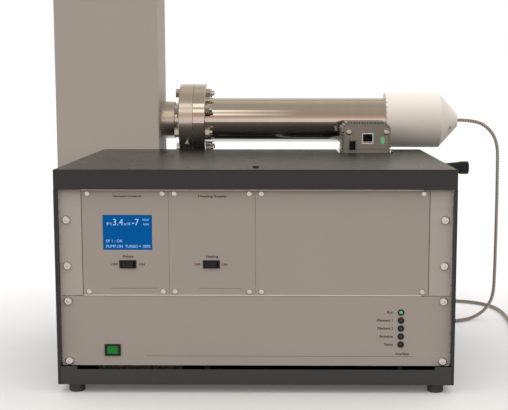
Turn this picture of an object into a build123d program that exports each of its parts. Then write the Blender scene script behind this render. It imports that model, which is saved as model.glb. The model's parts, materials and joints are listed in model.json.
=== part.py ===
from build123d import *
from math import cos, pi, radians, sin
import os

# Bench-top quadrupole mass spectrometer.
# A 19-inch desk case holds the pumps and the electronics. A vacuum chamber lies
# along its rear edge, with the radio-frequency head on its left end, a capped
# capillary inlet on its right end and a turbomolecular pump below it.
# Millimetres, +Z up, front towards -Y. The origin is on the bench, below the
# middle of the instrument's outline without its inlet line.

os.makedirs("parts", exist_ok=True)

# ---------------------------------------------------------------- general fits
gap = 0.3              # air between pieces that stand free of each other
shaft_fit = 0.05       # radial clearance of a turning shaft
sheet = 2.0            # folded steel sheet

# ------------------------------------------------------------ rack and modules
rack_panel_w = 482.6
rack_unit = 44.45
rack_panel_short = 0.8   # a panel is this much lower than its rack units
width_unit = 5.08
panel_t = 2.5
panel_recess = 7.1       # case front to panel face
lower_units = 2
upper_units = 3
narrow_module_units = 21
wide_module_units = 42
ear_hole_inset = 8.75    # panel end to the ear screws
lower_hole_span = 76.2
upper_hole_span = 57.15
module_joint = 0.3       # seam between two modules

# ------------------------------------------------------------------------ case
side_t = 4.0
side_joint = 1.05        # panel end to side panel
case_d = 351.7
foot_h = 11.2
foot_d = 20.0
foot_inset_x = 21.0
foot_inset_y = 14.0
plinth_h = 19.2
air_slot_h = 3.6
lip_h = 24.2
lip_joint = 0.45
rear_inset = 2.0         # rear panel behind the cover's rear edge
corner_r = 1.5

# ------------------------------------------------------------- vacuum assembly
tube_d = 70.0
tube_wall = 2.0
tube_behind_case = 50.3  # case rear edge to the tube's axis
tube_above_case = 43.1   # cover to the tube's axis
joint_x = -106.8         # plane between the two large flanges
flange_d = 113.5
probe_flange_t = 22.0
chamber_flange_t = 18.7
flange_bolt_circle = 92.2
flange_bolt_d = 8.0
flange_bolt_count = 8
gasket_t = 2.0
gasket_d = 82.4
flange_joint = 0.5
tube_end_x = 214.0
port_x = 156.5           # pump port below the tube
port_d = 40.0
port_flange_d = 69.9
port_flange_t = 13.0
port_bolt_circle = 58.7
port_bolt_d = 6.4
port_bolt_count = 6
port_flange_below = 50.0  # tube axis to the port flange's upper face
pump_body_d = 92.0
pump_body_h = 118.0

# -------------------------------------------------------------- inlet and head
cap_x = 194.0
cap_ring_w = 9.6
cap_d = 86.0
cap_body_w = 76.4
cap_cone_w = 29.5
cap_tip_d = 21.0
cap_wall = 3.0
collar_d = 59.0
collar_l = 31.1
head_w = 159.5
head_d = 100.0
head_h = 320.0
head_behind_case = 3.3
head_above_case = 280.0
head_sheet = 1.5

# ------------------------------------------------------------ worked-out places
inner_w = rack_panel_w + 2 * side_joint
case_w = inner_w + 2 * side_t
lower_z = foot_h + plinth_h + air_slot_h
lower_h = lower_units * rack_unit - rack_panel_short
upper_z = lower_z + lower_units * rack_unit
upper_h = upper_units * rack_unit - rack_panel_short
lip_z = upper_z + upper_h + lip_joint
case_top = lip_z + lip_h
cover_z = case_top - sheet
panel_back = panel_recess + panel_t
rear_y = case_d - rear_inset - sheet          # front face of the rear panel
modules_w = (2 * narrow_module_units + wide_module_units) * width_unit
module_x = modules_w / 2

tube_y = case_d + tube_behind_case
tube_z = case_top + tube_above_case
probe_flange_x = joint_x - flange_joint / 2 - probe_flange_t
chamber_flange_x = joint_x + flange_joint / 2
tube_x = chamber_flange_x + chamber_flange_t
head_right = probe_flange_x - collar_l
head_left = head_right - head_w
head_y = case_d + head_behind_case
head_z = case_top + head_above_case - head_h
cap_body_x = cap_x + cap_ring_w
cap_cone_x = cap_body_x + cap_body_w
cap_tip_x = cap_cone_x + cap_cone_w

case_x = -(head_left + cap_tip_x) / 2         # the case's middle in the frame
case_y = -(head_y + head_d) / 2               # the case's front in the frame


# ------------------------------------------------------------------ the planes
def level(z):
    """Level plane at height z: x to the right, y back from the case's front."""
    return Plane(origin=(case_x, case_y, z), x_dir=(1, 0, 0), z_dir=(0, 0, 1))


def facing(y):
    """Upright plane that faces the front, at depth y: x right, y up."""
    return Plane(origin=(case_x, case_y + y, 0), x_dir=(1, 0, 0), z_dir=(0, -1, 0))


def side_on(x):
    """Upright plane that faces right, at x: x back, y up."""
    return Plane(origin=(case_x + x, case_y, 0), x_dir=(0, 1, 0), z_dir=(1, 0, 0))


def across_tube(x):
    """Plane square to the vacuum tube, centred on its axis."""
    return Plane(
        origin=(case_x + x, case_y + tube_y, tube_z), x_dir=(0, 1, 0), z_dir=(1, 0, 0)
    )


def across_port(z):
    """Level plane centred on the pump port's axis."""
    return Plane(
        origin=(case_x + port_x, case_y + tube_y, z), x_dir=(1, 0, 0), z_dir=(0, 0, 1)
    )


tube_axis = Axis((case_x, case_y + tube_y, tube_z), (1, 0, 0))
port_axis = Axis((case_x + port_x, case_y + tube_y, 0), (0, 0, 1))


def finish(piece, name):
    piece.part.label = name
    export_step(piece.part, f"parts/{name}.step")


# ------------------------------------------------------------------- the case
tray_d = rear_y
tab_w = 20.0
tray_slot_count = 14
tray_slot_l = 90.0
tray_slot_w = 4.0
tray_slot_pitch = 12.0

with BuildPart() as base_tray:
    with BuildSketch(level(foot_h)):
        with Locations((0, tray_d / 2)):
            Rectangle(inner_w, tray_d)
    extrude(amount=plinth_h)
    offset(amount=-sheet, openings=base_tray.faces().sort_by(Axis.Z)[-1])
    with BuildSketch(facing(sheet)):
        with Locations((0, foot_h + plinth_h + air_slot_h / 2)):
            with GridLocations(inner_w - tab_w, 0, 2, 1):
                Rectangle(tab_w, air_slot_h)
    extrude(amount=sheet)
    with BuildSketch(level(foot_h)):
        with Locations((0, tray_d / 2)):
            with GridLocations(tray_slot_pitch, 0, tray_slot_count, 1):
                SlotOverall(tray_slot_l, tray_slot_w, rotation=90)
    extrude(amount=sheet, mode=Mode.SUBTRACT)
finish(base_tray, "base_tray")


with BuildSketch() as side_outline:
    with BuildLine():
        Polyline(
            (0, foot_h),
            (case_d, foot_h),
            (case_d, cover_z),
            (sheet + gap, cover_z),
            (sheet + gap, lip_z - gap),
            (0, lip_z - gap),
            close=True,
        )
    make_face()


valve_y = 200.0
valve_below_cover = 15.1
valve_z = case_top - valve_below_cover
valve_stem_d = 6.0
valve_neck_d = 11.0

with BuildPart() as side_panel_left:
    with BuildSketch(side_on(-case_w / 2)):
        add(side_outline)
    extrude(amount=side_t)
finish(side_panel_left, "side_panel_left")

with BuildPart() as side_panel_right:
    with BuildSketch(side_on(inner_w / 2)):
        add(side_outline)
        with Locations((valve_y, valve_z)):
            Circle(valve_neck_d / 2 + gap, mode=Mode.SUBTRACT)
    extrude(amount=side_t)
finish(side_panel_right, "side_panel_right")

drive_w = 73.0
drive_margin = 5.5
notch_w = drive_w + 2 * drive_margin
notch_d = 77.0
notch_x = port_x + 1.5
notch_r = 2.0
cover_screw_y = 28.0
cover_screw_d = 4.0

with BuildPart() as top_cover:
    with BuildSketch(level(cover_z)):
        with Locations((0, case_d / 2)):
            Rectangle(case_w, case_d)
    extrude(amount=sheet)
    with BuildSketch(facing(sheet)):
        with Locations((0, lip_z + lip_h / 2)):
            Rectangle(case_w, lip_h)
    extrude(amount=sheet)
    with BuildSketch(level(cover_z)):
        with Locations((notch_x, case_d - notch_d / 2 + notch_r)):
            RectangleRounded(notch_w, notch_d + 2 * notch_r, notch_r)
        with Locations((0, cover_screw_y)):
            Circle(cover_screw_d / 2)
    extrude(amount=sheet, mode=Mode.SUBTRACT)
    bend = top_cover.edges().filter_by(Axis.X).group_by(Axis.Y)[0].sort_by(Axis.Z)[-1]
    fillet(bend, corner_r)
    ends = top_cover.edges().filter_by(Axis.Z).group_by(Axis.Y)[0]
    fillet(ends, corner_r)
finish(top_cover, "top_cover")

# rear panel, with a punched fan guard and cut-outs
fan_x = -180.0
fan_z = 178.0
fan_size = 80.0
fan_bore = 76.0
fan_t = 25.0
guard_rings = 5
guard_bar = 2.0
guard_hub_r = 5.0
guard_ring_pitch = (fan_bore / 2 + guard_bar - guard_hub_r) / guard_rings
mains_x = -205.0
mains_z = 62.0
mains_body_w = 27.0
mains_body_h = 20.0
exhaust_x = -70.0
exhaust_z = 150.0
exhaust_d = 10.0
exhaust_thread_d = 13.0
hose_d = 12.0
hose_bore = 8.0
hose_z = 172.0
hose_x = 26.0
drive_shelf_z = 272.0

with BuildPart() as rear_panel:
    with BuildSketch(facing(rear_y + sheet)):
        with Locations((0, (foot_h + cover_z) / 2)):
            Rectangle(inner_w, cover_z - foot_h)
        with Locations((notch_x, cover_z)):
            Rectangle(notch_w + 2 * gap, 2 * (cover_z - drive_shelf_z), mode=Mode.SUBTRACT)
        with Locations((mains_x, mains_z)):
            Rectangle(mains_body_w + 2 * gap, mains_body_h + 2 * gap, mode=Mode.SUBTRACT)
        with Locations((exhaust_x, exhaust_z)):
            Circle(exhaust_thread_d / 2 + gap, mode=Mode.SUBTRACT)
        with Locations((hose_x, hose_z)):
            Circle(hose_d / 2 + gap, mode=Mode.SUBTRACT)
        with Locations((fan_x, fan_z)):
            for ring in reversed(range(guard_rings)):
                inner_r = guard_hub_r + ring * guard_ring_pitch
                Circle(inner_r + guard_ring_pitch - guard_bar, mode=Mode.SUBTRACT)
                Circle(inner_r)
            with PolarLocations(0, 4, start_angle=45):
                Rectangle(fan_bore + 2 * guard_bar, guard_bar)
    extrude(amount=sheet)
finish(rear_panel, "rear_panel")

foot_x = case_w / 2 - foot_inset_x
foot_edge = 1.0
with BuildPart() as feet:
    with BuildSketch(level(0)):
        with Locations((0, case_d / 2)):
            with GridLocations(2 * foot_x, case_d - 2 * foot_inset_y, 2, 2):
                Circle(foot_d / 2)
    extrude(amount=foot_h)
    chamfer(feet.edges().group_by(Axis.Z)[0], foot_edge)
finish(feet, "feet")

# ------------------------------------------------------------- rack and panels
rail_leg = 20.0
rail_t = 2.0
ear_screw_d = 6.0
ear_x = rack_panel_w / 2 - ear_hole_inset
lower_mid = lower_z + lower_h / 2
upper_mid = upper_z + upper_h / 2
subrack_side_d = 175.0
subrack_side_t = 1.5
subrack_rail_h = 10.0
subrack_rail_d = 8.0
module_screw_d = 2.5
module_screw_inset_x = 7.4
module_screw_inset_z = 5.3


def ear_holes(mid, span, radius):
    with Locations((0, mid)):
        with GridLocations(2 * ear_x, span, 2, 2):
            Circle(radius, mode=Mode.SUBTRACT)


with BuildPart() as rack_frame:
    # two angle rails behind the panel ears
    rail_z = upper_z + upper_h - lower_z
    with BuildSketch(facing(panel_back + rail_t)):
        with Locations((0, lower_z + rail_z / 2)):
            with GridLocations(inner_w - rail_leg, 0, 2, 1):
                Rectangle(rail_leg, rail_z)
        ear_holes(lower_mid, lower_hole_span, ear_screw_d / 2)
        ear_holes(upper_mid, upper_hole_span, ear_screw_d / 2)
    extrude(amount=rail_t)
    with BuildSketch(facing(panel_back + rail_leg)):
        with Locations((0, lower_z + rail_z / 2)):
            with GridLocations(inner_w - rail_t, 0, 2, 1):
                Rectangle(rail_t, rail_z)
    extrude(amount=rail_leg - rail_t)
finish(rack_frame, "rack_frame")

subrack_side_x = module_x + subrack_side_t / 2
with BuildPart() as subrack:
    # ears and side plates
    ear_w = rack_panel_w / 2 - module_x
    with BuildSketch(facing(panel_back)):
        with Locations((0, upper_mid)):
            with GridLocations(rack_panel_w - ear_w, 0, 2, 1):
                Rectangle(ear_w, upper_h)
        ear_holes(upper_mid, upper_hole_span, ear_screw_d / 2 + gap)
    extrude(amount=panel_t)
    with BuildSketch(facing(panel_back + subrack_side_d)):
        with Locations((0, upper_mid)):
            with GridLocations(2 * subrack_side_x, 0, 2, 1):
                Rectangle(subrack_side_t, upper_h)
    extrude(amount=subrack_side_d)
    # cross rails that carry the modules in front and the backplane behind
    for rail_back in (panel_back + subrack_rail_d, panel_back + subrack_side_d):
        with BuildSketch(facing(rail_back)):
            with Locations((0, upper_mid)):
                with GridLocations(0, upper_h - subrack_rail_h, 1, 2):
                    Rectangle(modules_w, subrack_rail_h)
        extrude(amount=subrack_rail_d)
finish(subrack, "subrack")

display_w = 60.5
display_h = 43.3
display_x = -157.5
display_z = 201.8
display_t = 9.0
module_switch_z = 162.3
switch_one_x = -157.6
switch_two_x = -54.5
power_x = -178.4
power_z = 53.7


class Switch:
    """Sizes of one rocker switch; the pivot lies behind the bezel's face."""

    def __init__(self, x, z, bezel_w, bezel_h, rocker_r, rocker_h, back):
        self.x = x
        self.z = z
        self.bezel_w = bezel_w
        self.bezel_h = bezel_h
        self.body_w = bezel_w - 1.6
        self.body_h = bezel_h - 1.6
        self.rocker_r = rocker_r
        self.rocker_h = rocker_h
        self.rest = back


rocker_tilt = 9.0        # each way from the middle
bezel_t = 1.5
switch_body_d = 16.0
pivot_behind_bezel = 3.3
pivot_pin_d = 1.6
pivot_y = panel_recess - bezel_t + pivot_behind_bezel
power_switch = Switch(power_x, power_z, 20.0, 14.8, 7.4, 9.8, -rocker_tilt)
pump_switch = Switch(switch_one_x, module_switch_z, 20.7, 10.0, 8.2, 6.6, -rocker_tilt)
heater_switch = Switch(switch_two_x, module_switch_z, 20.7, 10.0, 8.2, 6.6, -rocker_tilt)


def switch_cutout(switch):
    with Locations((switch.x, switch.z)):
        Rectangle(switch.body_w + gap, switch.body_h + gap, mode=Mode.SUBTRACT)


def module_outline(left, units):
    """Front plate of one module, its left edge at a width unit count."""
    width = units * width_unit - module_joint
    middle = -module_x + (left + units / 2) * width_unit
    with Locations((middle, upper_mid)):
        Rectangle(width, upper_h)
        with GridLocations(
            units * width_unit - 2 * module_screw_inset_x,
            upper_h - 2 * module_screw_inset_z,
            2,
            2,
        ):
            Circle(module_screw_d / 2 + gap, mode=Mode.SUBTRACT)


with BuildPart() as vacuum_module_panel:
    with BuildSketch(facing(panel_back)):
        module_outline(0, narrow_module_units)
        with Locations((display_x, display_z)):
            Rectangle(display_w + gap, display_h + gap, mode=Mode.SUBTRACT)
        switch_cutout(pump_switch)
    extrude(amount=panel_t)
finish(vacuum_module_panel, "vacuum_module_panel")

with BuildPart() as supply_module_panel:
    with BuildSketch(facing(panel_back)):
        module_outline(narrow_module_units, narrow_module_units)
        switch_cutout(heater_switch)
    extrude(amount=panel_t)
finish(supply_module_panel, "supply_module_panel")

with BuildPart() as blank_module_panel:
    with BuildSketch(facing(panel_back)):
        module_outline(2 * narrow_module_units, wide_module_units)
    extrude(amount=panel_t)
finish(blank_module_panel, "blank_module_panel")

led_x = 180.3
led_top_z = 102.1
led_pitch = 10.16
led_count = 5
led_d = 5.0
led_holder_d = 6.4
led_holder_rim_d = 8.0
led_rim_t = 1.0
led_mid_z = led_top_z - led_pitch * (led_count - 1) / 2

with BuildPart() as lower_panel:
    with BuildSketch(facing(panel_back)):
        with Locations((0, lower_mid)):
            Rectangle(rack_panel_w, lower_h)
        ear_holes(lower_mid, lower_hole_span, ear_screw_d / 2 + gap)
        switch_cutout(power_switch)
        with Locations((led_x, led_mid_z)):
            with GridLocations(0, led_pitch, 1, led_count):
                Circle(led_holder_d / 2, mode=Mode.SUBTRACT)
    extrude(amount=panel_t)
finish(lower_panel, "lower_panel")

# display: glass in front, its frame behind the panel
display_frame = 5.0
with BuildPart() as display:
    with BuildSketch(facing(panel_back)):
        with Locations((display_x, display_z)):
            Rectangle(display_w, display_h)
    extrude(amount=panel_t - 0.5)
    with BuildSketch(facing(panel_back + display_t)):
        with Locations((display_x, display_z)):
            Rectangle(display_w + 2 * display_frame, display_h + 2 * display_frame)
    extrude(amount=display_t)
finish(display, "display")


# ------------------------------------------------------------------- switches
def rocker_plane(switch, angle):
    """Level plane through the rocker's pivot, turned by its tilt."""
    return Plane(
        origin=(case_x + switch.x, case_y + pivot_y, switch.z - switch.rocker_h / 2),
        x_dir=(cos(radians(angle)), sin(radians(angle)), 0),
        z_dir=(0, 0, 1),
    )


def rocker_solid(switch):
    """A paddle whose ends are arcs about the pivot and whose face is a shallow V."""
    r = switch.rocker_r
    lift = radians(29)
    front = (-r * cos(lift), -r * sin(lift))
    waist = 3.0
    with BuildPart() as rocker:
        with BuildSketch(rocker_plane(switch, switch.rest)):
            with BuildLine():
                RadiusArc((-r, 0), front, r)
                Polyline(front, (0, -r * sin(lift) + 1.0), (-front[0], front[1]))
                RadiusArc((-front[0], front[1]), (r, 0), r)
                Polyline((r, 0), (waist, 1.2), (waist, waist), (-waist, waist), (-waist, 1.2), (-r, 0))
            make_face()
        extrude(amount=switch.rocker_h)
        with BuildSketch(rocker_plane(switch, switch.rest).offset(-1.0)):
            Circle(pivot_pin_d / 2)
        extrude(amount=switch.rocker_h + 2.0)
    return rocker


def switch_body_solid(switch):
    """Bezel and snap-in body with a cavity in which the rocker swings."""
    cavity_w = 2 * (switch.rocker_r + gap)
    cavity_h = switch.rocker_h + 2 * gap
    cavity_d = pivot_behind_bezel + 4.5
    pin_l = switch.rocker_h + 2.0
    with BuildPart() as body:
        with BuildSketch(facing(panel_recess)):
            with Locations((switch.x, switch.z)):
                Rectangle(switch.bezel_w, switch.bezel_h)
        extrude(amount=bezel_t)
        with BuildSketch(facing(panel_recess + switch_body_d)):
            with Locations((switch.x, switch.z)):
                Rectangle(switch.body_w, switch.body_h)
        extrude(amount=switch_body_d)
        with BuildSketch(facing(panel_recess - bezel_t + cavity_d)):
            with Locations((switch.x, switch.z)):
                Rectangle(cavity_w, cavity_h)
        extrude(amount=cavity_d, mode=Mode.SUBTRACT)
        with BuildSketch(level(switch.z - pin_l / 2 - gap)):
            with Locations((switch.x, pivot_y)):
                Circle(pivot_pin_d / 2 + shaft_fit)
        extrude(amount=pin_l + 2 * gap, mode=Mode.SUBTRACT)
    return body


def gather(pieces):
    """One node of several separate solids."""
    with BuildPart() as group:
        for piece in pieces:
            add(piece.part)
    return group


switches = (power_switch, pump_switch, heater_switch)
switch_bodies = gather([switch_body_solid(switch) for switch in switches])
finish(switch_bodies, "switch_bodies")

power_rocker = rocker_solid(power_switch)
finish(power_rocker, "power_rocker")
pump_rocker = rocker_solid(pump_switch)
finish(pump_rocker, "pump_rocker")
heater_rocker = rocker_solid(heater_switch)
finish(heater_rocker, "heater_rocker")


# ----------------------------------------------------------------------- lamps
def lamp_plane(number):
    """Plane on a lamp's axis at the panel's face, counted from the top."""
    return Plane(
        origin=(case_x + led_x, case_y + panel_recess, led_top_z - number * led_pitch),
        x_dir=(1, 0, 0),
        z_dir=(0, -1, 0),
    )


led_body_l = 8.0
with BuildPart() as lamp_holders:
    for number in range(led_count):
        with BuildSketch(lamp_plane(number).offset(-panel_t - 2.0)):
            Circle(led_holder_d / 2)
            Circle(led_d / 2, mode=Mode.SUBTRACT)
        extrude(amount=panel_t + 2.0)
        with BuildSketch(lamp_plane(number)):
            Circle(led_holder_rim_d / 2)
            Circle(led_d / 2, mode=Mode.SUBTRACT)
        extrude(amount=led_rim_t)
finish(lamp_holders, "lamp_holders")


def lamps(numbers):
    """Domed lamps, seated in their holders."""
    with BuildPart() as group:
        for number in numbers:
            with BuildSketch(lamp_plane(number).offset(-led_body_l)):
                Circle(led_d / 2)
            extrude(amount=led_body_l + led_rim_t)
        tips = group.edges().group_by(Axis.Y)[0]
        fillet(tips, led_d / 2 - 1.0)
    return group


run_lamp = lamps([0])
status_lamps = lamps([1, 2, 3])
finish(status_lamps, "status_lamps")
fault_lamp = lamps([4])
finish(fault_lamp, "fault_lamp")


# ---------------------------------------------------------------------- screws
def screw(head_d, head_h, shank_d, shank_l, socket_r, socket_depth):
    """Socket screw with a domed head, its head on +Z and its shank below."""
    crown = head_h * 0.6
    with BuildPart() as piece:
        with BuildSketch(Plane.XZ):
            with BuildLine():
                Polyline((0, head_h), (0, -shank_l), (shank_d / 2, -shank_l), (shank_d / 2, 0))
                Polyline((shank_d / 2, 0), (head_d / 2, 0), (head_d / 2, head_h - crown))
                ThreePointArc(
                    (head_d / 2, head_h - crown),
                    (head_d / 2 - crown * (1 - cos(pi / 4)), head_h - crown * (1 - sin(pi / 4))),
                    (head_d / 2 - crown, head_h),
                )
                Line((head_d / 2 - crown, head_h), (0, head_h))
            make_face()
        revolve(axis=Axis.Z)
        with BuildSketch(Plane.XY.offset(head_h - socket_depth)):
            RegularPolygon(socket_r, 6)
        extrude(amount=socket_depth, mode=Mode.SUBTRACT)
    return piece


def screw_place(x, y, z):
    """Plane on which a screw's head rests, facing the front."""
    return Plane(origin=(case_x + x, case_y + y, z), x_dir=(1, 0, 0), z_dir=(0, -1, 0))


ear_head_d = 10.5
ear_head_h = 3.3
ear_shank_l = 10.0
module_head_d = 6.6
module_head_h = 2.0
module_shank_l = 8.0

ear_screw = screw(ear_head_d, ear_head_h, ear_screw_d - 2 * shaft_fit, ear_shank_l, 2.3, 1.8)
ear_screw_places = [
    screw_place(x, panel_recess, mid + way * span / 2)
    for mid, span in ((lower_mid, lower_hole_span), (upper_mid, upper_hole_span))
    for x in (-ear_x, ear_x)
    for way in (-1, 1)
]
module_screw = screw(module_head_d, module_head_h, module_screw_d, panel_t, 1.3, 1.1)
module_edges = (0, narrow_module_units, 2 * narrow_module_units)
module_widths = (narrow_module_units, narrow_module_units, wide_module_units)
module_screw_places = []
for left, units in zip(module_edges, module_widths):
    left_x = -module_x + left * width_unit + module_screw_inset_x
    right_x = -module_x + (left + units) * width_unit - module_screw_inset_x
    for x in (left_x, right_x):
        for z in (upper_z + module_screw_inset_z, upper_z + upper_h - module_screw_inset_z):
            module_screw_places.append(screw_place(x, panel_recess, z))
with BuildPart() as module_screws:
    with Locations(*module_screw_places):
        add(module_screw.part)
finish(module_screws, "module_screws")

# ----------------------------------------------------------------- electronics
board_t = 1.6
card_l = 148.0
card_h = 100.0
card_x = (-module_x + 8 * width_unit, -module_x + 29 * width_unit)
chip_h = 2.5
card_chip_w = 18.0
card_chip_h = 10.0
card_chip_pitch_y = 34.0
card_chip_pitch_z = 30.0
board_chip_w = 20.0
board_chip_l = 14.0
board_chip_pitch_x = 48.0
board_chip_pitch_y = 42.0
standoff_d = 8.0
standoff_inset = 8.0
backplane_short = 4.0    # lower than the subrack's opening
backplane_y = panel_back + subrack_side_d - subrack_rail_d
card_y = backplane_y - board_t - gap - card_l
board_z = 40.0
board_x = 60.0
board_w = 260.0
board_l = 165.0
board_y = panel_recess + led_body_l + board_t
led_board_h = 68.0
led_board_w = 30.0

# two module cards, the backplane, and the interface board with its lamp board
with BuildPart() as circuit_boards:
    for x in card_x:
        with BuildSketch(side_on(x)):
            with Locations((card_y + card_l / 2, upper_mid)):
                Rectangle(card_l, card_h)
        extrude(amount=board_t)
        with BuildSketch(side_on(x + board_t)):
            with Locations((card_y + card_l / 2, upper_mid)):
                with GridLocations(card_chip_pitch_y, card_chip_pitch_z, 4, 3):
                    Rectangle(card_chip_w, card_chip_h)
        extrude(amount=chip_h)
    with BuildSketch(facing(backplane_y)):
        with Locations((0, upper_mid)):
            Rectangle(modules_w - 2 * gap, upper_h - backplane_short)
    extrude(amount=board_t)
    with BuildSketch(level(board_z)):
        with Locations((board_x, board_y + board_l / 2)):
            Rectangle(board_w, board_l)
    extrude(amount=board_t)
    with BuildSketch(level(board_z + board_t)):
        with Locations((board_x, board_y + board_l / 2)):
            with GridLocations(board_chip_pitch_x, board_chip_pitch_y, 5, 3):
                Rectangle(board_chip_w, board_chip_l)
    extrude(amount=chip_h)
    with BuildSketch(level(foot_h + sheet)):
        with Locations((board_x, board_y + board_l / 2)):
            with GridLocations(board_w - 2 * standoff_inset, board_l - 2 * standoff_inset, 2, 2):
                Circle(standoff_d / 2)
    extrude(amount=board_z - foot_h - sheet)
    with BuildSketch(facing(board_y)):
        with Locations((led_x, board_z + led_board_h / 2)):
            Rectangle(led_board_w, led_board_h)
    extrude(amount=board_t)
finish(circuit_boards, "circuit_boards")

supply_x = -152.0
supply_y = 60.0
supply_w = 110.0
supply_l = 200.0
supply_h = 52.0
supply_slot_count = 9
supply_slot_w = 5.0
supply_slot_pitch = 14.0
supply_slot_margin = 15.0
supply_slot_depth = 1.0
with BuildPart() as power_supply:
    with BuildSketch(level(foot_h + sheet)):
        with Locations((supply_x, supply_y + supply_l / 2)):
            Rectangle(supply_w, supply_l)
    extrude(amount=supply_h)
    fillet(power_supply.edges().filter_by(Axis.Y).group_by(Axis.Z)[-1], corner_r)
    with BuildSketch(level(foot_h + sheet + supply_h - supply_slot_depth)):
        with Locations((supply_x, supply_y + supply_l / 2)):
            with GridLocations(0, supply_slot_pitch, 1, supply_slot_count):
                SlotOverall(supply_w - 2 * supply_slot_margin, supply_slot_w)
    extrude(amount=supply_slot_depth, mode=Mode.SUBTRACT)
finish(power_supply, "power_supply")

# ---------------------------------------------------------------- backing pump
pump_x = -20.0
pump_w = 150.0
pump_l = 112.0
pump_to_rear = 30.7      # pump to the rear panel
pump_motor_d = 84.0
pump_head_h = 44.0
pump_head_w = 64.0
pump_z = foot_h + sheet
pump_rib_h = 3.0
hose_grip = 12.0
pump_top = pump_z + 176.0
pump_mid_z = pump_z + 60.0
pump_rear = rear_y - pump_to_rear
pump_y = pump_rear - pump_l
pump_base_h = 10.0
pump_base_r = 6.0
pump_block_inset = 30.0  # motor block in from the base plate, both sides together
pump_head_rise = 30.0    # motor axis to the foot of the heads
pump_neck_d = 56.0
pump_rib_count = 5
pump_rib_pitch = 9.0

with BuildPart() as backing_pump:
    # motor across the case, on a base plate
    with BuildSketch(level(pump_z)):
        with Locations((pump_x, pump_y + pump_l / 2)):
            RectangleRounded(pump_w, pump_l, pump_base_r)
    extrude(amount=pump_base_h)
    with BuildSketch(level(pump_z + pump_base_h)):
        with Locations((pump_x, pump_y + pump_l / 2)):
            Rectangle(pump_w - pump_block_inset, pump_l - pump_block_inset)
    extrude(amount=pump_mid_z - pump_z - pump_base_h)
    with BuildSketch(side_on(pump_x - pump_w / 2)):
        with Locations((pump_y + pump_l / 2, pump_mid_z)):
            Circle(pump_motor_d / 2)
    extrude(amount=pump_w)
    # two ribbed diaphragm heads
    for x in (pump_x - pump_w / 4, pump_x + pump_w / 4):
        with BuildSketch(level(pump_mid_z + pump_head_rise)):
            with Locations((x, pump_y + pump_l / 2)):
                Circle(pump_neck_d / 2)
        extrude(amount=pump_top - pump_mid_z - pump_head_rise)
        for rib in range(pump_rib_count):
            with BuildSketch(level(pump_top - pump_head_h + rib * pump_rib_pitch)):
                with Locations((x, pump_y + pump_l / 2)):
                    Circle(pump_head_w / 2)
            extrude(amount=pump_rib_h)
    # ports towards the rear
    for x, z in ((hose_x, hose_z), (exhaust_x, exhaust_z)):
        with BuildSketch(facing(pump_rear + hose_grip)):
            with Locations((x, z)):
                Circle(hose_bore / 2 - shaft_fit)
        extrude(amount=pump_l / 2 + hose_grip)
finish(backing_pump, "backing_pump")

# --------------------------------------------------------------- rear fittings
exhaust_rim_d = 18.0
exhaust_rim_t = 3.3
exhaust_barb_l = 18.0
exhaust_bore = 5.0
panel_rear = rear_y + sheet
exhaust_axis = Axis((case_x + exhaust_x, case_y, exhaust_z), (0, 1, 0))
exhaust_plane = Plane(
    origin=(case_x + exhaust_x, case_y, exhaust_z), x_dir=(0, 1, 0), z_dir=(1, 0, 0)
)

with BuildPart() as exhaust_fitting:
    with BuildSketch(exhaust_plane):
        with BuildLine():
            Polyline(
                (rear_y - exhaust_rim_t - hose_grip, exhaust_bore / 2),
                (rear_y - exhaust_rim_t - hose_grip, hose_bore / 2 - shaft_fit),
                (rear_y - exhaust_rim_t, hose_bore / 2 - shaft_fit),
                (rear_y - exhaust_rim_t, exhaust_rim_d / 2),
                (rear_y, exhaust_rim_d / 2),
                (rear_y, exhaust_thread_d / 2),
                (panel_rear, exhaust_thread_d / 2),
                (panel_rear, exhaust_rim_d / 2),
                (panel_rear + exhaust_rim_t, exhaust_rim_d / 2),
                (panel_rear + exhaust_rim_t, exhaust_d / 2),
                (panel_rear + exhaust_rim_t + exhaust_barb_l, exhaust_d / 2),
                (panel_rear + exhaust_rim_t + exhaust_barb_l, exhaust_bore / 2),
                close=True,
            )
        make_face()
    revolve(axis=exhaust_axis)
finish(exhaust_fitting, "exhaust_fitting")

# suction hose from the turbomolecular pump, and exhaust hose to its fitting
hose_end_x = port_x - pump_body_d / 2
hose_bend_r = 36.0
hose_path_plane = level(hose_z)
with BuildPart() as pump_hoses:
    with BuildLine(hose_path_plane) as suction_route:
        FilletPolyline(
            (hose_x, pump_rear),
            (hose_x, tube_y),
            (hose_end_x, tube_y),
            radius=hose_bend_r,
        )
    with BuildSketch(facing(pump_rear)):
        with Locations((hose_x, hose_z)):
            Circle(hose_d / 2)
            Circle(hose_bore / 2, mode=Mode.SUBTRACT)
    sweep(path=suction_route.wires()[0])
    with BuildSketch(facing(rear_y - exhaust_rim_t)):
        with Locations((exhaust_x, exhaust_z)):
            Circle(hose_d / 2)
            Circle(hose_bore / 2, mode=Mode.SUBTRACT)
    extrude(amount=rear_y - exhaust_rim_t - pump_rear)
finish(pump_hoses, "pump_hoses")

mains_rim = 2.5
mains_rim_margin = 2.5
mains_rim_r = 2.0
mains_recess_w = 23.5
mains_recess_h = 15.5
mains_recess_d = 17.0
mains_body_d = 21.0
mains_pin_l = 11.0
mains_pin_w = 2.0
mains_pin_h = 4.0
mains_pin_span = 7.0
mains_pin_rise = 2.0

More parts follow.
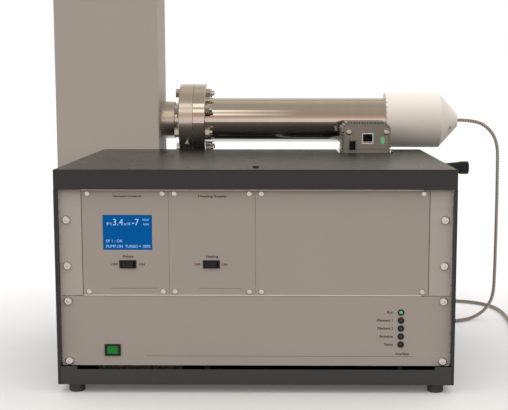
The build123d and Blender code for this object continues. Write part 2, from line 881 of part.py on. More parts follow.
with BuildPart() as mains_inlet:
    with BuildSketch(facing(panel_rear + mains_rim)):
        with Locations((mains_x, mains_z)):
            RectangleRounded(
                mains_body_w + 2 * mains_rim_margin,
                mains_body_h + 2 * mains_rim_margin,
                mains_rim_r,
            )
    extrude(amount=mains_rim)
    with BuildSketch(facing(panel_rear)):
        with Locations((mains_x, mains_z)):
            Rectangle(mains_body_w, mains_body_h)
    extrude(amount=mains_body_d)
    with BuildSketch(facing(panel_rear + mains_rim)):
        with Locations((mains_x, mains_z)):
            Rectangle(mains_recess_w, mains_recess_h)
    extrude(amount=mains_recess_d, mode=Mode.SUBTRACT)
finish(mains_inlet, "mains_inlet")

pin_back = panel_rear + mains_rim - mains_recess_d
with BuildPart() as mains_pins:
    with BuildSketch(facing(pin_back + mains_pin_l)):
        with Locations(
            (mains_x, mains_z + mains_pin_rise),
            (mains_x - mains_pin_span, mains_z - mains_pin_rise),
            (mains_x + mains_pin_span, mains_z - mains_pin_rise),
        ):
            Rectangle(mains_pin_w, mains_pin_h)
    extrude(amount=mains_pin_l)
finish(mains_pins, "mains_pins")

# ------------------------------------------------------------------------- fan
fan_hub_d = 34.0
fan_motor_t = 4.0
fan_shaft_d = 3.0
fan_rotor_t = 17.0
fan_rotor_y = rear_y - fan_motor_t - gap - fan_rotor_t
fan_tip_r = fan_bore / 2 - 1.5
fan_blade_count = 7
fan_blade_t = 1.4
fan_frame_r = 4.0
fan_hole_span = 71.5
fan_hole_d = 4.4
fan_spoke_w = 4.0
fan_root_angle = 48.0    # blade pitch at the hub and at the tip
fan_tip_angle = 30.0

with BuildPart() as fan_frame:
    with BuildSketch(facing(rear_y)):
        with Locations((fan_x, fan_z)):
            RectangleRounded(fan_size, fan_size, fan_frame_r)
            Circle(fan_bore / 2, mode=Mode.SUBTRACT)
            with GridLocations(fan_hole_span, fan_hole_span, 2, 2):
                Circle(fan_hole_d / 2, mode=Mode.SUBTRACT)
    extrude(amount=fan_t)
    with BuildSketch(facing(rear_y)):
        with Locations((fan_x, fan_z)):
            Circle(fan_hub_d / 2)
            with PolarLocations(fan_bore / 4, 4, start_angle=30):
                Rectangle(fan_bore / 2 + 2, fan_spoke_w)
    extrude(amount=fan_motor_t)
    with BuildSketch(facing(rear_y)):
        with Locations((fan_x, fan_z)):
            Circle(fan_shaft_d / 2)
    extrude(amount=fan_motor_t + fan_rotor_t - 2)
finish(fan_frame, "fan_frame")


def blade_plane(centre, axis, angle, radius):
    """Plane square to a radius about an upright or a level axis, x along the axis."""
    across = Plane(origin=centre, z_dir=axis)
    outward = across.x_dir * cos(radians(angle)) + across.y_dir * sin(radians(angle))
    return Plane(origin=Vector(centre) + outward * radius, x_dir=axis, z_dir=outward)


fan_centre = (case_x + fan_x, case_y + fan_rotor_y + fan_rotor_t / 2, fan_z)
with BuildPart() as fan_rotor:
    with BuildSketch(facing(fan_rotor_y + fan_rotor_t)):
        with Locations((fan_x, fan_z)):
            Circle(fan_hub_d / 2)
            Circle(fan_shaft_d / 2 + shaft_fit, mode=Mode.SUBTRACT)
    extrude(amount=fan_rotor_t)
    for blade in range(fan_blade_count):
        angle = blade * 360 / fan_blade_count
        with BuildSketch(blade_plane(fan_centre, (0, -1, 0), angle, fan_hub_d / 2 - 1.5)):
            Rectangle(fan_rotor_t - 2, fan_blade_t, rotation=fan_root_angle)
        with BuildSketch(blade_plane(fan_centre, (0, -1, 0), angle, fan_tip_r)):
            Rectangle(fan_rotor_t - 1, fan_blade_t, rotation=fan_tip_angle)
        loft()
finish(fan_rotor, "fan_rotor")

# ----------------------------------------------------------------- bypass valve
valve_block = 28.0
valve_stem_l = 14.0
knob_neck_x = case_w / 2 + 5.6
knob_taper_x = case_w / 2 + 35.5
knob_end_x = case_w / 2 + 47.3
knob_d = 18.0
knob_taper_d = 16.6
valve_axis = Axis((case_x, case_y + valve_y, valve_z), (1, 0, 0))
valve_plane = Plane(origin=(case_x, case_y + valve_y, valve_z), x_dir=(1, 0, 0), z_dir=(0, -1, 0))
valve_inner_x = inner_w / 2

with BuildPart() as valve_body:
    with BuildSketch(side_on(valve_inner_x - valve_block)):
        with Locations((valve_y, cover_z - gap - valve_block / 2)):
            Rectangle(valve_block, valve_block)
    extrude(amount=valve_block)
    with BuildSketch(side_on(valve_inner_x - valve_stem_l - gap)):
        with Locations((valve_y, valve_z)):
            Circle(valve_stem_d / 2 + shaft_fit)
    extrude(amount=valve_stem_l + gap, mode=Mode.SUBTRACT)
finish(valve_body, "valve_body")

with BuildPart() as valve_knob:
    with BuildSketch(valve_plane):
        with BuildLine():
            Polyline(
                (valve_inner_x - valve_stem_l, 0),
                (valve_inner_x - valve_stem_l, valve_stem_d / 2),
                (valve_inner_x + gap, valve_stem_d / 2),
                (valve_inner_x + gap, valve_neck_d / 2),
                (knob_neck_x, valve_neck_d / 2),
                (knob_taper_x, knob_taper_d / 2),
                (knob_taper_x, knob_d / 2),
                (knob_end_x - 1, knob_d / 2),
                (knob_end_x, knob_d / 2 - 1),
                (knob_end_x, 0),
                close=True,
            )
        make_face()
    revolve(axis=valve_axis)
finish(valve_knob, "valve_knob")

# -------------------------------------------------------------- pump drive unit
bracket_lap = 3.0        # bracket under the cover, beside the notch
bracket_w = notch_w + 2 * bracket_lap
bracket_front = case_d - notch_d + bracket_lap
bracket_drop = 34.0
drive_z = drive_shelf_z + sheet
drive_top = 325.4
drive_l = 58.0
drive_rear = case_d - 10.7
drive_front = drive_rear - drive_l
drive_chamfer_x = 8.0
drive_chamfer_z = 8.5
fin_depth = 3.4
fin_slot = 1.6
fin_pitch = 3.95
fin_margin = 4.0         # lowest fin slot above the bracket
drive_cover_t = 2.0
cover_groove_z = 11.0    # pressed line across the cover, above the bracket
cover_groove_w = 1.8
cover_groove_depth = 1.0
drive_h = drive_top - drive_z
jack_x = port_x + 2.0
jack_z = 301.0
jack_w = 17.0
jack_h = 16.3
jack_d = 16.0
plug_x = port_x - 20.3
plug_z = 290.6
plug_w = 11.8
plug_h = 16.2
plug_d = 12.0
lamp_x = port_x + 24.2
lamp_z = 298.4
lamp_w = 5.6
lamp_h = 10.6
lamp_d = 3.0
lamp_r = 2.6
drive_screw_x = 27.4
drive_screw_z = 310.6
drive_screw_d = 3.0
drive_screw_places = ((jack_x - drive_screw_x, drive_screw_z), (jack_x + drive_screw_x, drive_screw_z))

with BuildPart() as drive_bracket:
    with BuildSketch(level(drive_shelf_z)):
        with Locations((notch_x, (bracket_front + rear_y) / 2)):
            Rectangle(bracket_w, rear_y - bracket_front)
    extrude(amount=sheet)
    with BuildSketch(facing(rear_y)):
        with Locations((notch_x, drive_shelf_z + sheet - bracket_drop / 2)):
            Rectangle(bracket_w, bracket_drop)
    extrude(amount=sheet)
finish(drive_bracket, "drive_bracket")

with BuildSketch() as drive_outline:
    with BuildLine():
        Polyline(
            (-drive_w / 2, 0),
            (drive_w / 2, 0),
            (drive_w / 2, drive_h - drive_chamfer_z),
            (drive_w / 2 - drive_chamfer_x, drive_h),
            (-drive_w / 2 + drive_chamfer_x, drive_h),
            (-drive_w / 2, drive_h - drive_chamfer_z),
            close=True,
        )
    make_face()

top_slots = int((drive_w - 2 * drive_chamfer_x) / fin_pitch)
side_slots = int((drive_h - drive_chamfer_z - fin_margin) / fin_pitch)
with BuildPart() as drive_housing:
    # finned extrusion, its fins running from front to rear
    with BuildSketch(facing(drive_rear)):
        with Locations((port_x, drive_z)):
            add(drive_outline)
        with Locations((port_x, drive_top)):
            with GridLocations(fin_pitch, 0, top_slots, 1):
                Rectangle(fin_slot, 2 * fin_depth, mode=Mode.SUBTRACT)
        with Locations((port_x, drive_z + fin_margin + (side_slots - 1) * fin_pitch / 2)):
            with GridLocations(drive_w, fin_pitch, 2, side_slots):
                Rectangle(2 * fin_depth, fin_slot, mode=Mode.SUBTRACT)
        for way in (-1, 1):
            for share in (0.3, 0.7):
                with Locations(
                    (
                        port_x + way * (drive_w / 2 - drive_chamfer_x * share),
                        drive_top - drive_chamfer_z * (1 - share),
                    )
                ):
                    Rectangle(2 * fin_depth, fin_slot, rotation=way * 45, mode=Mode.SUBTRACT)
    extrude(amount=drive_l)
    with BuildSketch(facing(drive_front + jack_d)):
        with Locations((jack_x, jack_z)):
            Rectangle(jack_w, jack_h)
    extrude(amount=jack_d, mode=Mode.SUBTRACT)
    with BuildSketch(facing(drive_front + plug_d)):
        with Locations((plug_x, plug_z)):
            Rectangle(plug_w, plug_h)
    extrude(amount=plug_d, mode=Mode.SUBTRACT)
    with BuildSketch(facing(drive_front + lamp_d)):
        with Locations((lamp_x, lamp_z)):
            RectangleRounded(lamp_w, lamp_h, lamp_r)
    extrude(amount=lamp_d, mode=Mode.SUBTRACT)
finish(drive_housing, "drive_housing")

cover_inset = fin_depth + 0.6
with BuildPart() as drive_cover:
    with BuildSketch(facing(drive_front)):
        with Locations((port_x, drive_z)):
            add(drive_outline)
        offset(amount=-cover_inset, kind=Kind.INTERSECTION, mode=Mode.REPLACE)
        with Locations((jack_x, jack_z)):
            Rectangle(jack_w, jack_h, mode=Mode.SUBTRACT)
        with Locations((plug_x, plug_z)):
            Rectangle(plug_w, plug_h, mode=Mode.SUBTRACT)
        with Locations((lamp_x, lamp_z)):
            RectangleRounded(lamp_w, lamp_h, lamp_r, mode=Mode.SUBTRACT)
        with Locations(*drive_screw_places):
            Circle(drive_screw_d / 2 + shaft_fit, mode=Mode.SUBTRACT)
    extrude(amount=drive_cover_t)
    with BuildSketch(facing(drive_front - drive_cover_t + cover_groove_depth)):
        with Locations((port_x, drive_z + cover_groove_z)):
            Rectangle(drive_w, cover_groove_w)
    extrude(amount=cover_groove_depth, mode=Mode.SUBTRACT)
finish(drive_cover, "drive_cover")

jack_cavity_w = 12.4
jack_cavity_h = 7.4
jack_cavity_z = jack_z - 0.4
jack_step = 2.0
jack_floor = 2.0
jack_proud = 0.6         # socket in front of the cover
plug_proud = 0.4
plug_wall = 1.2
plug_floor = 3.0
plug_cavity_r = 1.0
lamp_proud = 0.5
with BuildPart() as network_jack:
    with BuildSketch(facing(drive_front + jack_d)):
        with Locations((jack_x, jack_z)):
            Rectangle(jack_w, jack_h)
    extrude(amount=jack_d + drive_cover_t + jack_proud)
    with BuildSketch(facing(drive_front + jack_d - jack_floor)):
        with Locations((jack_x, jack_cavity_z)):
            Rectangle(jack_cavity_w, jack_cavity_h)
        with Locations((jack_x, jack_cavity_z + jack_cavity_h / 2 + jack_step / 2)):
            Rectangle(jack_cavity_w / 2, jack_step)
        with Locations((jack_x, jack_cavity_z + jack_cavity_h / 2 + 1.4 * jack_step)):
            Rectangle(jack_cavity_w / 4, jack_step)
    extrude(amount=jack_d + drive_cover_t, mode=Mode.SUBTRACT)

with BuildPart() as power_plug_socket:
    with BuildSketch(facing(drive_front + plug_d)):
        with Locations((plug_x, plug_z)):
            Rectangle(plug_w, plug_h)
    extrude(amount=plug_d + drive_cover_t + plug_proud)
    with BuildSketch(facing(drive_front + plug_d - plug_floor)):
        with Locations((plug_x, plug_z)):
            RectangleRounded(plug_w - 2 * plug_wall, plug_h - 2 * plug_wall, plug_cavity_r)
    extrude(amount=plug_d + drive_cover_t, mode=Mode.SUBTRACT)

with BuildPart() as drive_sockets:
    add(network_jack.part)
    add(power_plug_socket.part)
finish(drive_sockets, "drive_sockets")

with BuildPart() as drive_lamp:
    with BuildSketch(facing(drive_front + lamp_d)):
        with Locations((lamp_x, lamp_z)):
            RectangleRounded(lamp_w, lamp_h, lamp_r)
    extrude(amount=lamp_d + drive_cover_t + lamp_proud)

with BuildPart() as lit_lamps:
    add(run_lamp.part)
    add(drive_lamp.part)
finish(lit_lamps, "lit_lamps")

cover_screw = screw(8.0, 2.4, cover_screw_d - 2 * shaft_fit, 6.0, 1.7, 1.2)
with BuildPart() as cover_screws:
    with Locations(level(case_top)):
        with Locations((0, cover_screw_y)):
            add(cover_screw.part)
finish(cover_screws, "cover_screws")

# --------------------------------------------------------------- vacuum chamber
recess_t = (gasket_t - flange_joint) / 2
hole_play = 0.2
end_plate_t = 6.0
inlet_bore_d = 16.0
port_wall = 2.0
port_flange_z = tube_z - port_flange_below          # upper face
port_joint_z = port_flange_z - port_flange_t - flange_joint / 2
port_gasket_d = 48.2
flange_edge = 1.2
rim_groove_count = 7
rim_groove_w = 0.8
rim_groove_depth = 0.4
rim_groove_pitch = 1.9

with BuildPart() as vacuum_housing:
    with BuildSketch(across_tube(chamber_flange_x)):
        Circle(flange_d / 2)
    extrude(amount=chamber_flange_t)
    chamfer(vacuum_housing.edges().group_by(Axis.X)[-1], flange_edge)
    # fine turned lines round the flange's rim
    rim_middle = (chamber_flange_x + tube_x) / 2
    with BuildSketch(Plane(tube_axis.position, x_dir=(1, 0, 0), z_dir=(0, -1, 0))):
        with Locations((rim_middle, flange_d / 2)):
            with GridLocations(rim_groove_pitch, 0, rim_groove_count, 1):
                Rectangle(rim_groove_w, 2 * rim_groove_depth)
    revolve(axis=tube_axis, mode=Mode.SUBTRACT)
    with BuildSketch(across_tube(chamber_flange_x)):
        Circle(tube_d / 2)
    extrude(amount=tube_end_x - chamber_flange_x)
    with BuildSketch(across_port(port_flange_z - port_flange_t)):
        Circle(port_d / 2)
    extrude(amount=port_flange_below + port_flange_t)
    with BuildSketch(across_port(port_flange_z - port_flange_t)):
        Circle(port_flange_d / 2)
    extrude(amount=port_flange_t)
    # bores
    with BuildSketch(across_tube(chamber_flange_x)):
        Circle(tube_d / 2 - tube_wall)
    extrude(amount=tube_end_x - end_plate_t - chamber_flange_x, mode=Mode.SUBTRACT)
    with BuildSketch(across_tube(tube_end_x - end_plate_t)):
        Circle(inlet_bore_d / 2)
    extrude(amount=end_plate_t, mode=Mode.SUBTRACT)
    with BuildSketch(across_port(port_flange_z - port_flange_t)):
        Circle(port_d / 2 - port_wall)
    extrude(amount=port_flange_below + port_flange_t, mode=Mode.SUBTRACT)
    # gasket recesses and bolt holes
    with BuildSketch(across_tube(chamber_flange_x)):
        Circle(gasket_d / 2)
    extrude(amount=recess_t, mode=Mode.SUBTRACT)
    with BuildSketch(across_port(port_flange_z - port_flange_t)):
        Circle(port_gasket_d / 2)
    extrude(amount=recess_t, mode=Mode.SUBTRACT)
    with BuildSketch(across_tube(chamber_flange_x)):
        with PolarLocations(
            flange_bolt_circle / 2, flange_bolt_count, start_angle=180 / flange_bolt_count
        ):
            Circle(flange_bolt_d / 2 + hole_play)
    extrude(amount=chamber_flange_t, mode=Mode.SUBTRACT)
    with BuildSketch(across_port(port_flange_z - port_flange_t)):
        with PolarLocations(port_bolt_circle / 2, port_bolt_count):
            Circle(port_bolt_d / 2 + hole_play)
    extrude(amount=port_flange_t, mode=Mode.SUBTRACT)
finish(vacuum_housing, "vacuum_housing")

hub_t = 8.0
hub_d = 54.0
vent_angle = 35.0        # below the level, towards the front
vent_x = -116.0
vent_l = 9.6
vent_d = 6.0
vent_ring_d = 10.0
vent_ring_t = 3.0
with BuildPart() as probe_flange:
    with BuildSketch(across_tube(probe_flange_x)):
        Circle(flange_d / 2)
    extrude(amount=probe_flange_t)
    chamfer(probe_flange.edges().group_by(Axis.X)[0], flange_edge)
    with BuildSketch(across_tube(probe_flange_x - hub_t)):
        Circle(hub_d / 2)
    extrude(amount=hub_t)
    with BuildSketch(across_tube(probe_flange_x)):
        with PolarLocations(
            flange_bolt_circle / 2, flange_bolt_count, start_angle=180 / flange_bolt_count
        ):
            Circle(flange_bolt_d / 2 + hole_play)
    extrude(amount=probe_flange_t, mode=Mode.SUBTRACT)
    with BuildSketch(across_tube(joint_x - flange_joint / 2 - recess_t)):
        Circle(gasket_d / 2)
    extrude(amount=recess_t, mode=Mode.SUBTRACT)
    # vent nipple in the rim, closed by a ring nut
    vent_out = Vector(0, -cos(radians(vent_angle)), -sin(radians(vent_angle)))
    vent_root = across_tube(vent_x).origin + vent_out * (flange_d / 2 - 1)
    with BuildSketch(Plane(origin=vent_root, x_dir=(1, 0, 0), z_dir=vent_out)):
        Circle(vent_d / 2)
    extrude(amount=vent_l + 1)
    vent_end = vent_root + vent_out * (vent_l + 1 - vent_ring_t)
    with BuildSketch(Plane(origin=vent_end, x_dir=(1, 0, 0), z_dir=vent_out)):
        Circle(vent_ring_d / 2)
    extrude(amount=vent_ring_t)
finish(probe_flange, "probe_flange")

with BuildPart() as copper_gaskets:
    with BuildSketch(across_tube(joint_x - gasket_t / 2)):
        Circle(gasket_d / 2 - hole_play)
        Circle(tube_d / 2 - tube_wall, mode=Mode.SUBTRACT)
    extrude(amount=gasket_t)
    with BuildSketch(across_port(port_joint_z - gasket_t / 2)):
        Circle(port_gasket_d / 2 - hole_play)
        Circle(port_d / 2 - port_wall, mode=Mode.SUBTRACT)
    extrude(amount=gasket_t)
finish(copper_gaskets, "copper_gaskets")


def bolt_and_nut(shank_d, across_flats, head_h, grip, tail):
    """Hexagon bolt along +Z with its nut; the head rests on the plane."""
    with BuildPart() as pair:
        with BuildSketch(Plane.XY.offset(-head_h)):
            RegularPolygon(across_flats / 2, 6, major_radius=False)
        extrude(amount=head_h)
        with BuildSketch():
            Circle(shank_d / 2)
        extrude(amount=grip + head_h + tail)
        with BuildSketch(Plane.XY.offset(grip)):
            RegularPolygon(across_flats / 2, 6, major_radius=False)
            Circle(shank_d / 2 + shaft_fit, mode=Mode.SUBTRACT)
        extrude(amount=head_h)
    return pair


flange_grip = tube_x - probe_flange_x
port_grip = 2 * port_flange_t + flange_joint
flange_bolt = bolt_and_nut(flange_bolt_d, 13.0, 6.5, flange_grip, 4.0)
port_bolt = bolt_and_nut(port_bolt_d - 2 * hole_play, 10.0, 4.5, port_grip, 2.5)
with BuildPart() as flange_bolts:
    with Locations(across_tube(probe_flange_x)):
        with PolarLocations(
            flange_bolt_circle / 2, flange_bolt_count, start_angle=180 / flange_bolt_count
        ):
            add(flange_bolt.part)
    with Locations(Plane(across_port(port_flange_z).origin, x_dir=(1, 0, 0), z_dir=(0, 0, -1))):
        with PolarLocations(port_bolt_circle / 2, port_bolt_count):
            add(port_bolt.part)
finish(flange_bolts, "flange_bolts")

# ---------------------------------------------------------- turbomolecular pump
turbo_flange_z = port_joint_z - flange_joint / 2    # upper face
turbo_flange_bottom = turbo_flange_z - port_flange_t
turbo_neck_d = 46.0
turbo_neck_h = 8.0
turbo_shoulder_h = 10.0
turbo_bottom = turbo_flange_bottom - pump_body_h
turbo_bore_d = 76.0
turbo_roof_t = 2.0
turbo_bore_top = turbo_flange_bottom - turbo_neck_h - turbo_shoulder_h - turbo_roof_t
turbo_bore_h = 54.0
turbo_bore_floor = turbo_bore_top - turbo_bore_h
turbo_shaft_d = 8.0
turbo_shaft_l = 20.0
turbo_hub_d = 30.0
turbo_tip_d = 72.0
turbo_rows = 3
turbo_blades = 16
turbo_row_pitch = 15.0
turbo_blade_t = 1.2
turbo_blade_w = 9.0
turbo_groove_count = 4
turbo_groove_w = 3.0
turbo_groove_depth = 2.0
turbo_groove_pitch = 7.0
turbo_groove_rise = 8.0  # lowest groove above the foot
turbo_hub_edge = 5.0

with BuildPart() as turbo_housing:
    with BuildSketch(Plane(port_axis.position, x_dir=(1, 0, 0), z_dir=(0, -1, 0))):
        with BuildLine():
            Polyline(
                (port_d / 2 - port_wall, turbo_flange_z),
                (port_flange_d / 2, turbo_flange_z),
                (port_flange_d / 2, turbo_flange_bottom),
                (turbo_neck_d / 2, turbo_flange_bottom),
                (turbo_neck_d / 2, turbo_flange_bottom - turbo_neck_h),
                (pump_body_d / 2, turbo_flange_bottom - turbo_neck_h - turbo_shoulder_h),
                (pump_body_d / 2, turbo_bottom),
                (turbo_shaft_d / 2 + shaft_fit, turbo_bottom),
                (turbo_shaft_d / 2 + shaft_fit, turbo_bore_floor),
                (turbo_bore_d / 2, turbo_bore_floor),
                (turbo_bore_d / 2, turbo_bore_top),
                (port_d / 2 - port_wall, turbo_flange_bottom - turbo_neck_h - turbo_roof_t),
                close=True,
            )
        make_face()
        for groove in range(turbo_groove_count):
            groove_z = turbo_bottom + turbo_groove_rise + groove * turbo_groove_pitch
            with Locations((pump_body_d / 2, groove_z)):
                Rectangle(2 * turbo_groove_depth, turbo_groove_w, mode=Mode.SUBTRACT)
    revolve(axis=port_axis)
    with BuildSketch(across_port(turbo_flange_z - recess_t)):
        Circle(port_gasket_d / 2)
    extrude(amount=recess_t, mode=Mode.SUBTRACT)
    with BuildSketch(across_port(turbo_flange_bottom)):
        with PolarLocations(port_bolt_circle / 2, port_bolt_count):
            Circle(port_bolt_d / 2 + hole_play)
    extrude(amount=port_flange_t, mode=Mode.SUBTRACT)
    # closed foot below the shaft, and the suction port
    with BuildSketch(across_port(turbo_bottom)):
        Circle(pump_body_d / 4)
    extrude(amount=turbo_bore_floor - turbo_shaft_l - turbo_bottom - gap)
    with BuildSketch(side_on(hose_end_x - hose_grip)):
        with Locations((tube_y, hose_z)):
            Circle(hose_bore / 2 - shaft_fit)
    extrude(amount=hose_grip + 6)
finish(turbo_housing, "turbo_housing")

with BuildPart() as turbo_rotor:
    # hub and shaft, with three rows of twisted blades
    hub_z = turbo_bore_floor + 1.0
    with BuildSketch(across_port(hub_z)):
        Circle(turbo_hub_d / 2)
    extrude(amount=turbo_row_pitch * turbo_rows)
    chamfer(turbo_rotor.edges().group_by(Axis.Z)[-1], turbo_hub_edge)
    with BuildSketch(across_port(turbo_bore_floor - turbo_shaft_l)):
        Circle(turbo_shaft_d / 2)
    extrude(amount=turbo_shaft_l + 2)
    for row in range(turbo_rows):
        row_z = hub_z + (row + 0.5) * turbo_row_pitch - 1.5
        row_centre = (case_x + port_x, case_y + tube_y, row_z)
        for blade in range(turbo_blades):
            angle = (blade + row / 2) * 360 / turbo_blades
            with BuildSketch(blade_plane(row_centre, (0, 0, 1), angle, turbo_hub_d / 2 - 3)):
                Rectangle(turbo_blade_w, turbo_blade_t, rotation=50 - 8 * row)
            with BuildSketch(blade_plane(row_centre, (0, 0, 1), angle, turbo_tip_d / 2)):
                Rectangle(turbo_blade_w, turbo_blade_t, rotation=35 - 8 * row)
            loft()
finish(turbo_rotor, "turbo_rotor")

shelf_t = 3.0
shelf_margin = 6.0
shelf_w = pump_body_d + 2 * shelf_margin
shelf_l = tube_behind_case + pump_body_d / 2 - 1
shelf_drop = 70.0
with BuildPart() as pump_shelf:
    with BuildSketch(side_on(port_x - shelf_w / 2)):
        with BuildLine():
            Polyline(
                (panel_rear, turbo_bottom),
                (panel_rear + shelf_l, turbo_bottom),
                (panel_rear + shelf_l, turbo_bottom - shelf_t),
                (panel_rear + shelf_t, turbo_bottom - shelf_t),
                (panel_rear + shelf_t, turbo_bottom - shelf_drop),
                (panel_rear, turbo_bottom - shelf_drop),
                close=True,
            )
        make_face()
    extrude(amount=shelf_w)
    for x in (port_x - shelf_w / 2, port_x + shelf_w / 2 - shelf_t):
        with BuildSketch(side_on(x)):
            with BuildLine():
                Polyline(
                    (panel_rear + shelf_t, turbo_bottom - shelf_t),
                    (panel_rear + shelf_l, turbo_bottom - shelf_t),
                    (panel_rear + shelf_t, turbo_bottom - shelf_drop),
                    close=True,
                )
            make_face()
        extrude(amount=shelf_t)
finish(pump_shelf, "pump_shelf")

# -------------------------------------------------------------------- analyser
detector_d = 44.0
detector_l = 48.0
holder_d = 52.0
holder_t = 8.0
rod_d = 9.0
rod_circle = 18.0
rod_l = 150.0
holder_bore_d = 10.0
detector_wall = 2.0
detector_end_t = 6.0
detector_bore_d = 8.0
source_d = 46.0
source_l = 34.0
source_plate_t = 3.0
source_wall = 1.5
source_in_d = 6.0
source_out_d = 16.0
source_windows = 6
source_window_w = 9.0
detector_x = joint_x - flange_joint / 2 - recess_t
rear_holder_x = detector_x + detector_l
rod_x = rear_holder_x + holder_t
front_holder_x = rod_x + rod_l
source_x = front_holder_x + holder_t

with BuildPart() as detector:
    with BuildSketch(across_tube(detector_x)):
        Circle(detector_d / 2)
    extrude(amount=detector_l)
    with BuildSketch(across_tube(detector_x + detector_end_t)):
        Circle(detector_d / 2 - detector_wall)
    extrude(amount=detector_l - 2 * detector_end_t, mode=Mode.SUBTRACT)
    with BuildSketch(across_tube(detector_x + detector_l - detector_end_t)):
        Circle(detector_bore_d / 2)
    extrude(amount=detector_end_t, mode=Mode.SUBTRACT)
finish(detector, "detector")

with BuildPart() as rod_holders:
    for x in (rear_holder_x, front_holder_x):
        with BuildSketch(across_tube(x)):
            Circle(holder_d / 2)
            Circle(holder_bore_d / 2, mode=Mode.SUBTRACT)
        extrude(amount=holder_t)
finish(rod_holders, "rod_holders")

with BuildPart() as quadrupole_rods:
    with BuildSketch(across_tube(rod_x)):
        with PolarLocations(rod_circle / 2, 4, start_angle=45):
            Circle(rod_d / 2)
    extrude(amount=rod_l)
finish(quadrupole_rods, "quadrupole_rods")

with BuildPart() as ion_source:
    with BuildSketch(across_tube(source_x)):
        Circle(source_d / 2)
        Circle(source_in_d / 2, mode=Mode.SUBTRACT)
    extrude(amount=source_plate_t)
    with BuildSketch(across_tube(source_x + source_plate_t)):
        Circle(source_d / 2)
        Circle(source_d / 2 - source_wall, mode=Mode.SUBTRACT)
        with PolarLocations(source_d / 2, source_windows):
            Rectangle(source_window_w, source_window_w, mode=Mode.SUBTRACT)
    extrude(amount=source_l - 2 * source_plate_t)
    with BuildSketch(across_tube(source_x + source_l - source_plate_t)):
        Circle(source_d / 2)
        Circle(source_out_d / 2, mode=Mode.SUBTRACT)
    extrude(amount=source_plate_t)
finish(ion_source, "ion_source")

# -------------------------------------------------------- radio-frequency head
connector_d = 40.0
collar_groove_w = 1.4
collar_groove_x = probe_flange_x - hub_t - collar_groove_w
collar_groove_depth = 2.0  # below the flange's hub
collar_bore_d = 46.0
with BuildPart() as head_collar:
    with BuildSketch(Plane(tube_axis.position, x_dir=(1, 0, 0), z_dir=(0, -1, 0))):
        with BuildLine():
            start = head_right
            Polyline(
                (start, collar_bore_d / 2),
                (start, collar_d / 2),
                (collar_groove_x, collar_d / 2),
                (collar_groove_x, hub_d / 2 - collar_groove_depth),
                (probe_flange_x - hub_t, hub_d / 2 - collar_groove_depth),
                (probe_flange_x - hub_t, collar_bore_d / 2),
                close=True,
            )
        make_face()
    revolve(axis=tube_axis)
finish(head_collar, "head_collar")

head_mid_x = (head_left + head_right) / 2
head_mid_y = head_y + head_d / 2
with BuildPart() as head_shell:
    # front and both sides, folded from one sheet
    with BuildSketch(level(head_z)):
        with Locations((head_mid_x, head_mid_y)):
            Rectangle(head_w, head_d)
        with Locations((head_mid_x, head_mid_y + head_sheet)):
            Rectangle(head_w - 2 * head_sheet, head_d, mode=Mode.SUBTRACT)
    extrude(amount=head_h)
    fillet(head_shell.edges().filter_by(Axis.Z).group_by(Axis.Y)[0], corner_r)
    with BuildSketch(across_tube(head_right - head_sheet)):
        Circle(connector_d / 2)
    extrude(amount=head_sheet, mode=Mode.SUBTRACT)
finish(head_shell, "head_shell")

with BuildPart() as head_back:
    # back, top and bottom, folded from one sheet
    with BuildSketch(side_on(head_left + head_sheet)):
        with Locations((head_mid_y + head_sheet / 2, head_z + head_h / 2)):
            Rectangle(head_d - head_sheet, head_h)
        with Locations((head_mid_y - head_sheet / 2, head_z + head_h / 2)):
            Rectangle(head_d, head_h - 2 * head_sheet, mode=Mode.SUBTRACT)
    extrude(amount=head_w - 2 * head_sheet)
finish(head_back, "head_back")

head_board_y = head_y + 62.0
head_board_w = 130.0
head_board_h = 270.0
head_board_inset = 7.0
tank_coil_d = 64.0
tank_coil_bore = 34.0
tank_coil_t = 22.0
tank_coil_pitch = 90.0
with BuildPart() as head_board:
    with BuildSketch(facing(head_board_y + board_t)):
        with Locations((head_mid_x, head_z + head_h / 2)):
            Rectangle(head_board_w, head_board_h)
    extrude(amount=board_t)
    with BuildSketch(facing(head_y + head_d - head_sheet)):
        with Locations((head_mid_x, head_z + head_h / 2)):
            with GridLocations(
                head_board_w - 2 * head_board_inset, head_board_h - 2 * head_board_inset, 2, 2
            ):
                Circle(standoff_d / 2)
    extrude(amount=head_d - head_sheet - (head_board_y + board_t - head_y))
    with BuildSketch(facing(head_board_y)):
        with Locations((head_mid_x, head_z + head_h / 2)):
            with GridLocations(0, tank_coil_pitch, 1, 2):
                Circle(tank_coil_d / 2)
                Circle(tank_coil_bore / 2, mode=Mode.SUBTRACT)
    extrude(amount=tank_coil_t)
finish(head_board, "head_board")

# ------------------------------------------------------------- capillary inlet
scallop_count = 30
scallop_r = 1.6
with BuildPart() as cap_ring:
    with BuildSketch(across_tube(cap_x)):
        Circle(cap_d / 2)
        Circle(tube_d / 2 + shaft_fit, mode=Mode.SUBTRACT)
    extrude(amount=cap_ring_w)
    for scallop in range(scallop_count):
        angle = scallop * 360 / scallop_count
        with BuildSketch(
            blade_plane(tuple(across_tube(cap_x).origin), (1, 0, 0), angle, tube_d / 2 + 2)
        ):
            Circle(scallop_r)
        extrude(amount=cap_d / 2, mode=Mode.SUBTRACT)
finish(cap_ring, "cap_ring")

fitting_tube_d = 12.0
fitting_rim_d = 32.0
fitting_rim_t = 5.0
fitting_nut_l = 22.0
fitting_nut_d = 22.0
fitting_nose_l = 14.0
cap_screw_along = 14.8     # from the cone's foot towards its tip
cap_screw_angle = 30.0     # below the level, towards the front
cap_screw_d = 4.0
cap_recess_d = 9.4
cap_recess_depth = 4.2
cap_screw_head_d = 7.6
cap_screw_head_h = 2.8
cap_screw_l = 3.0

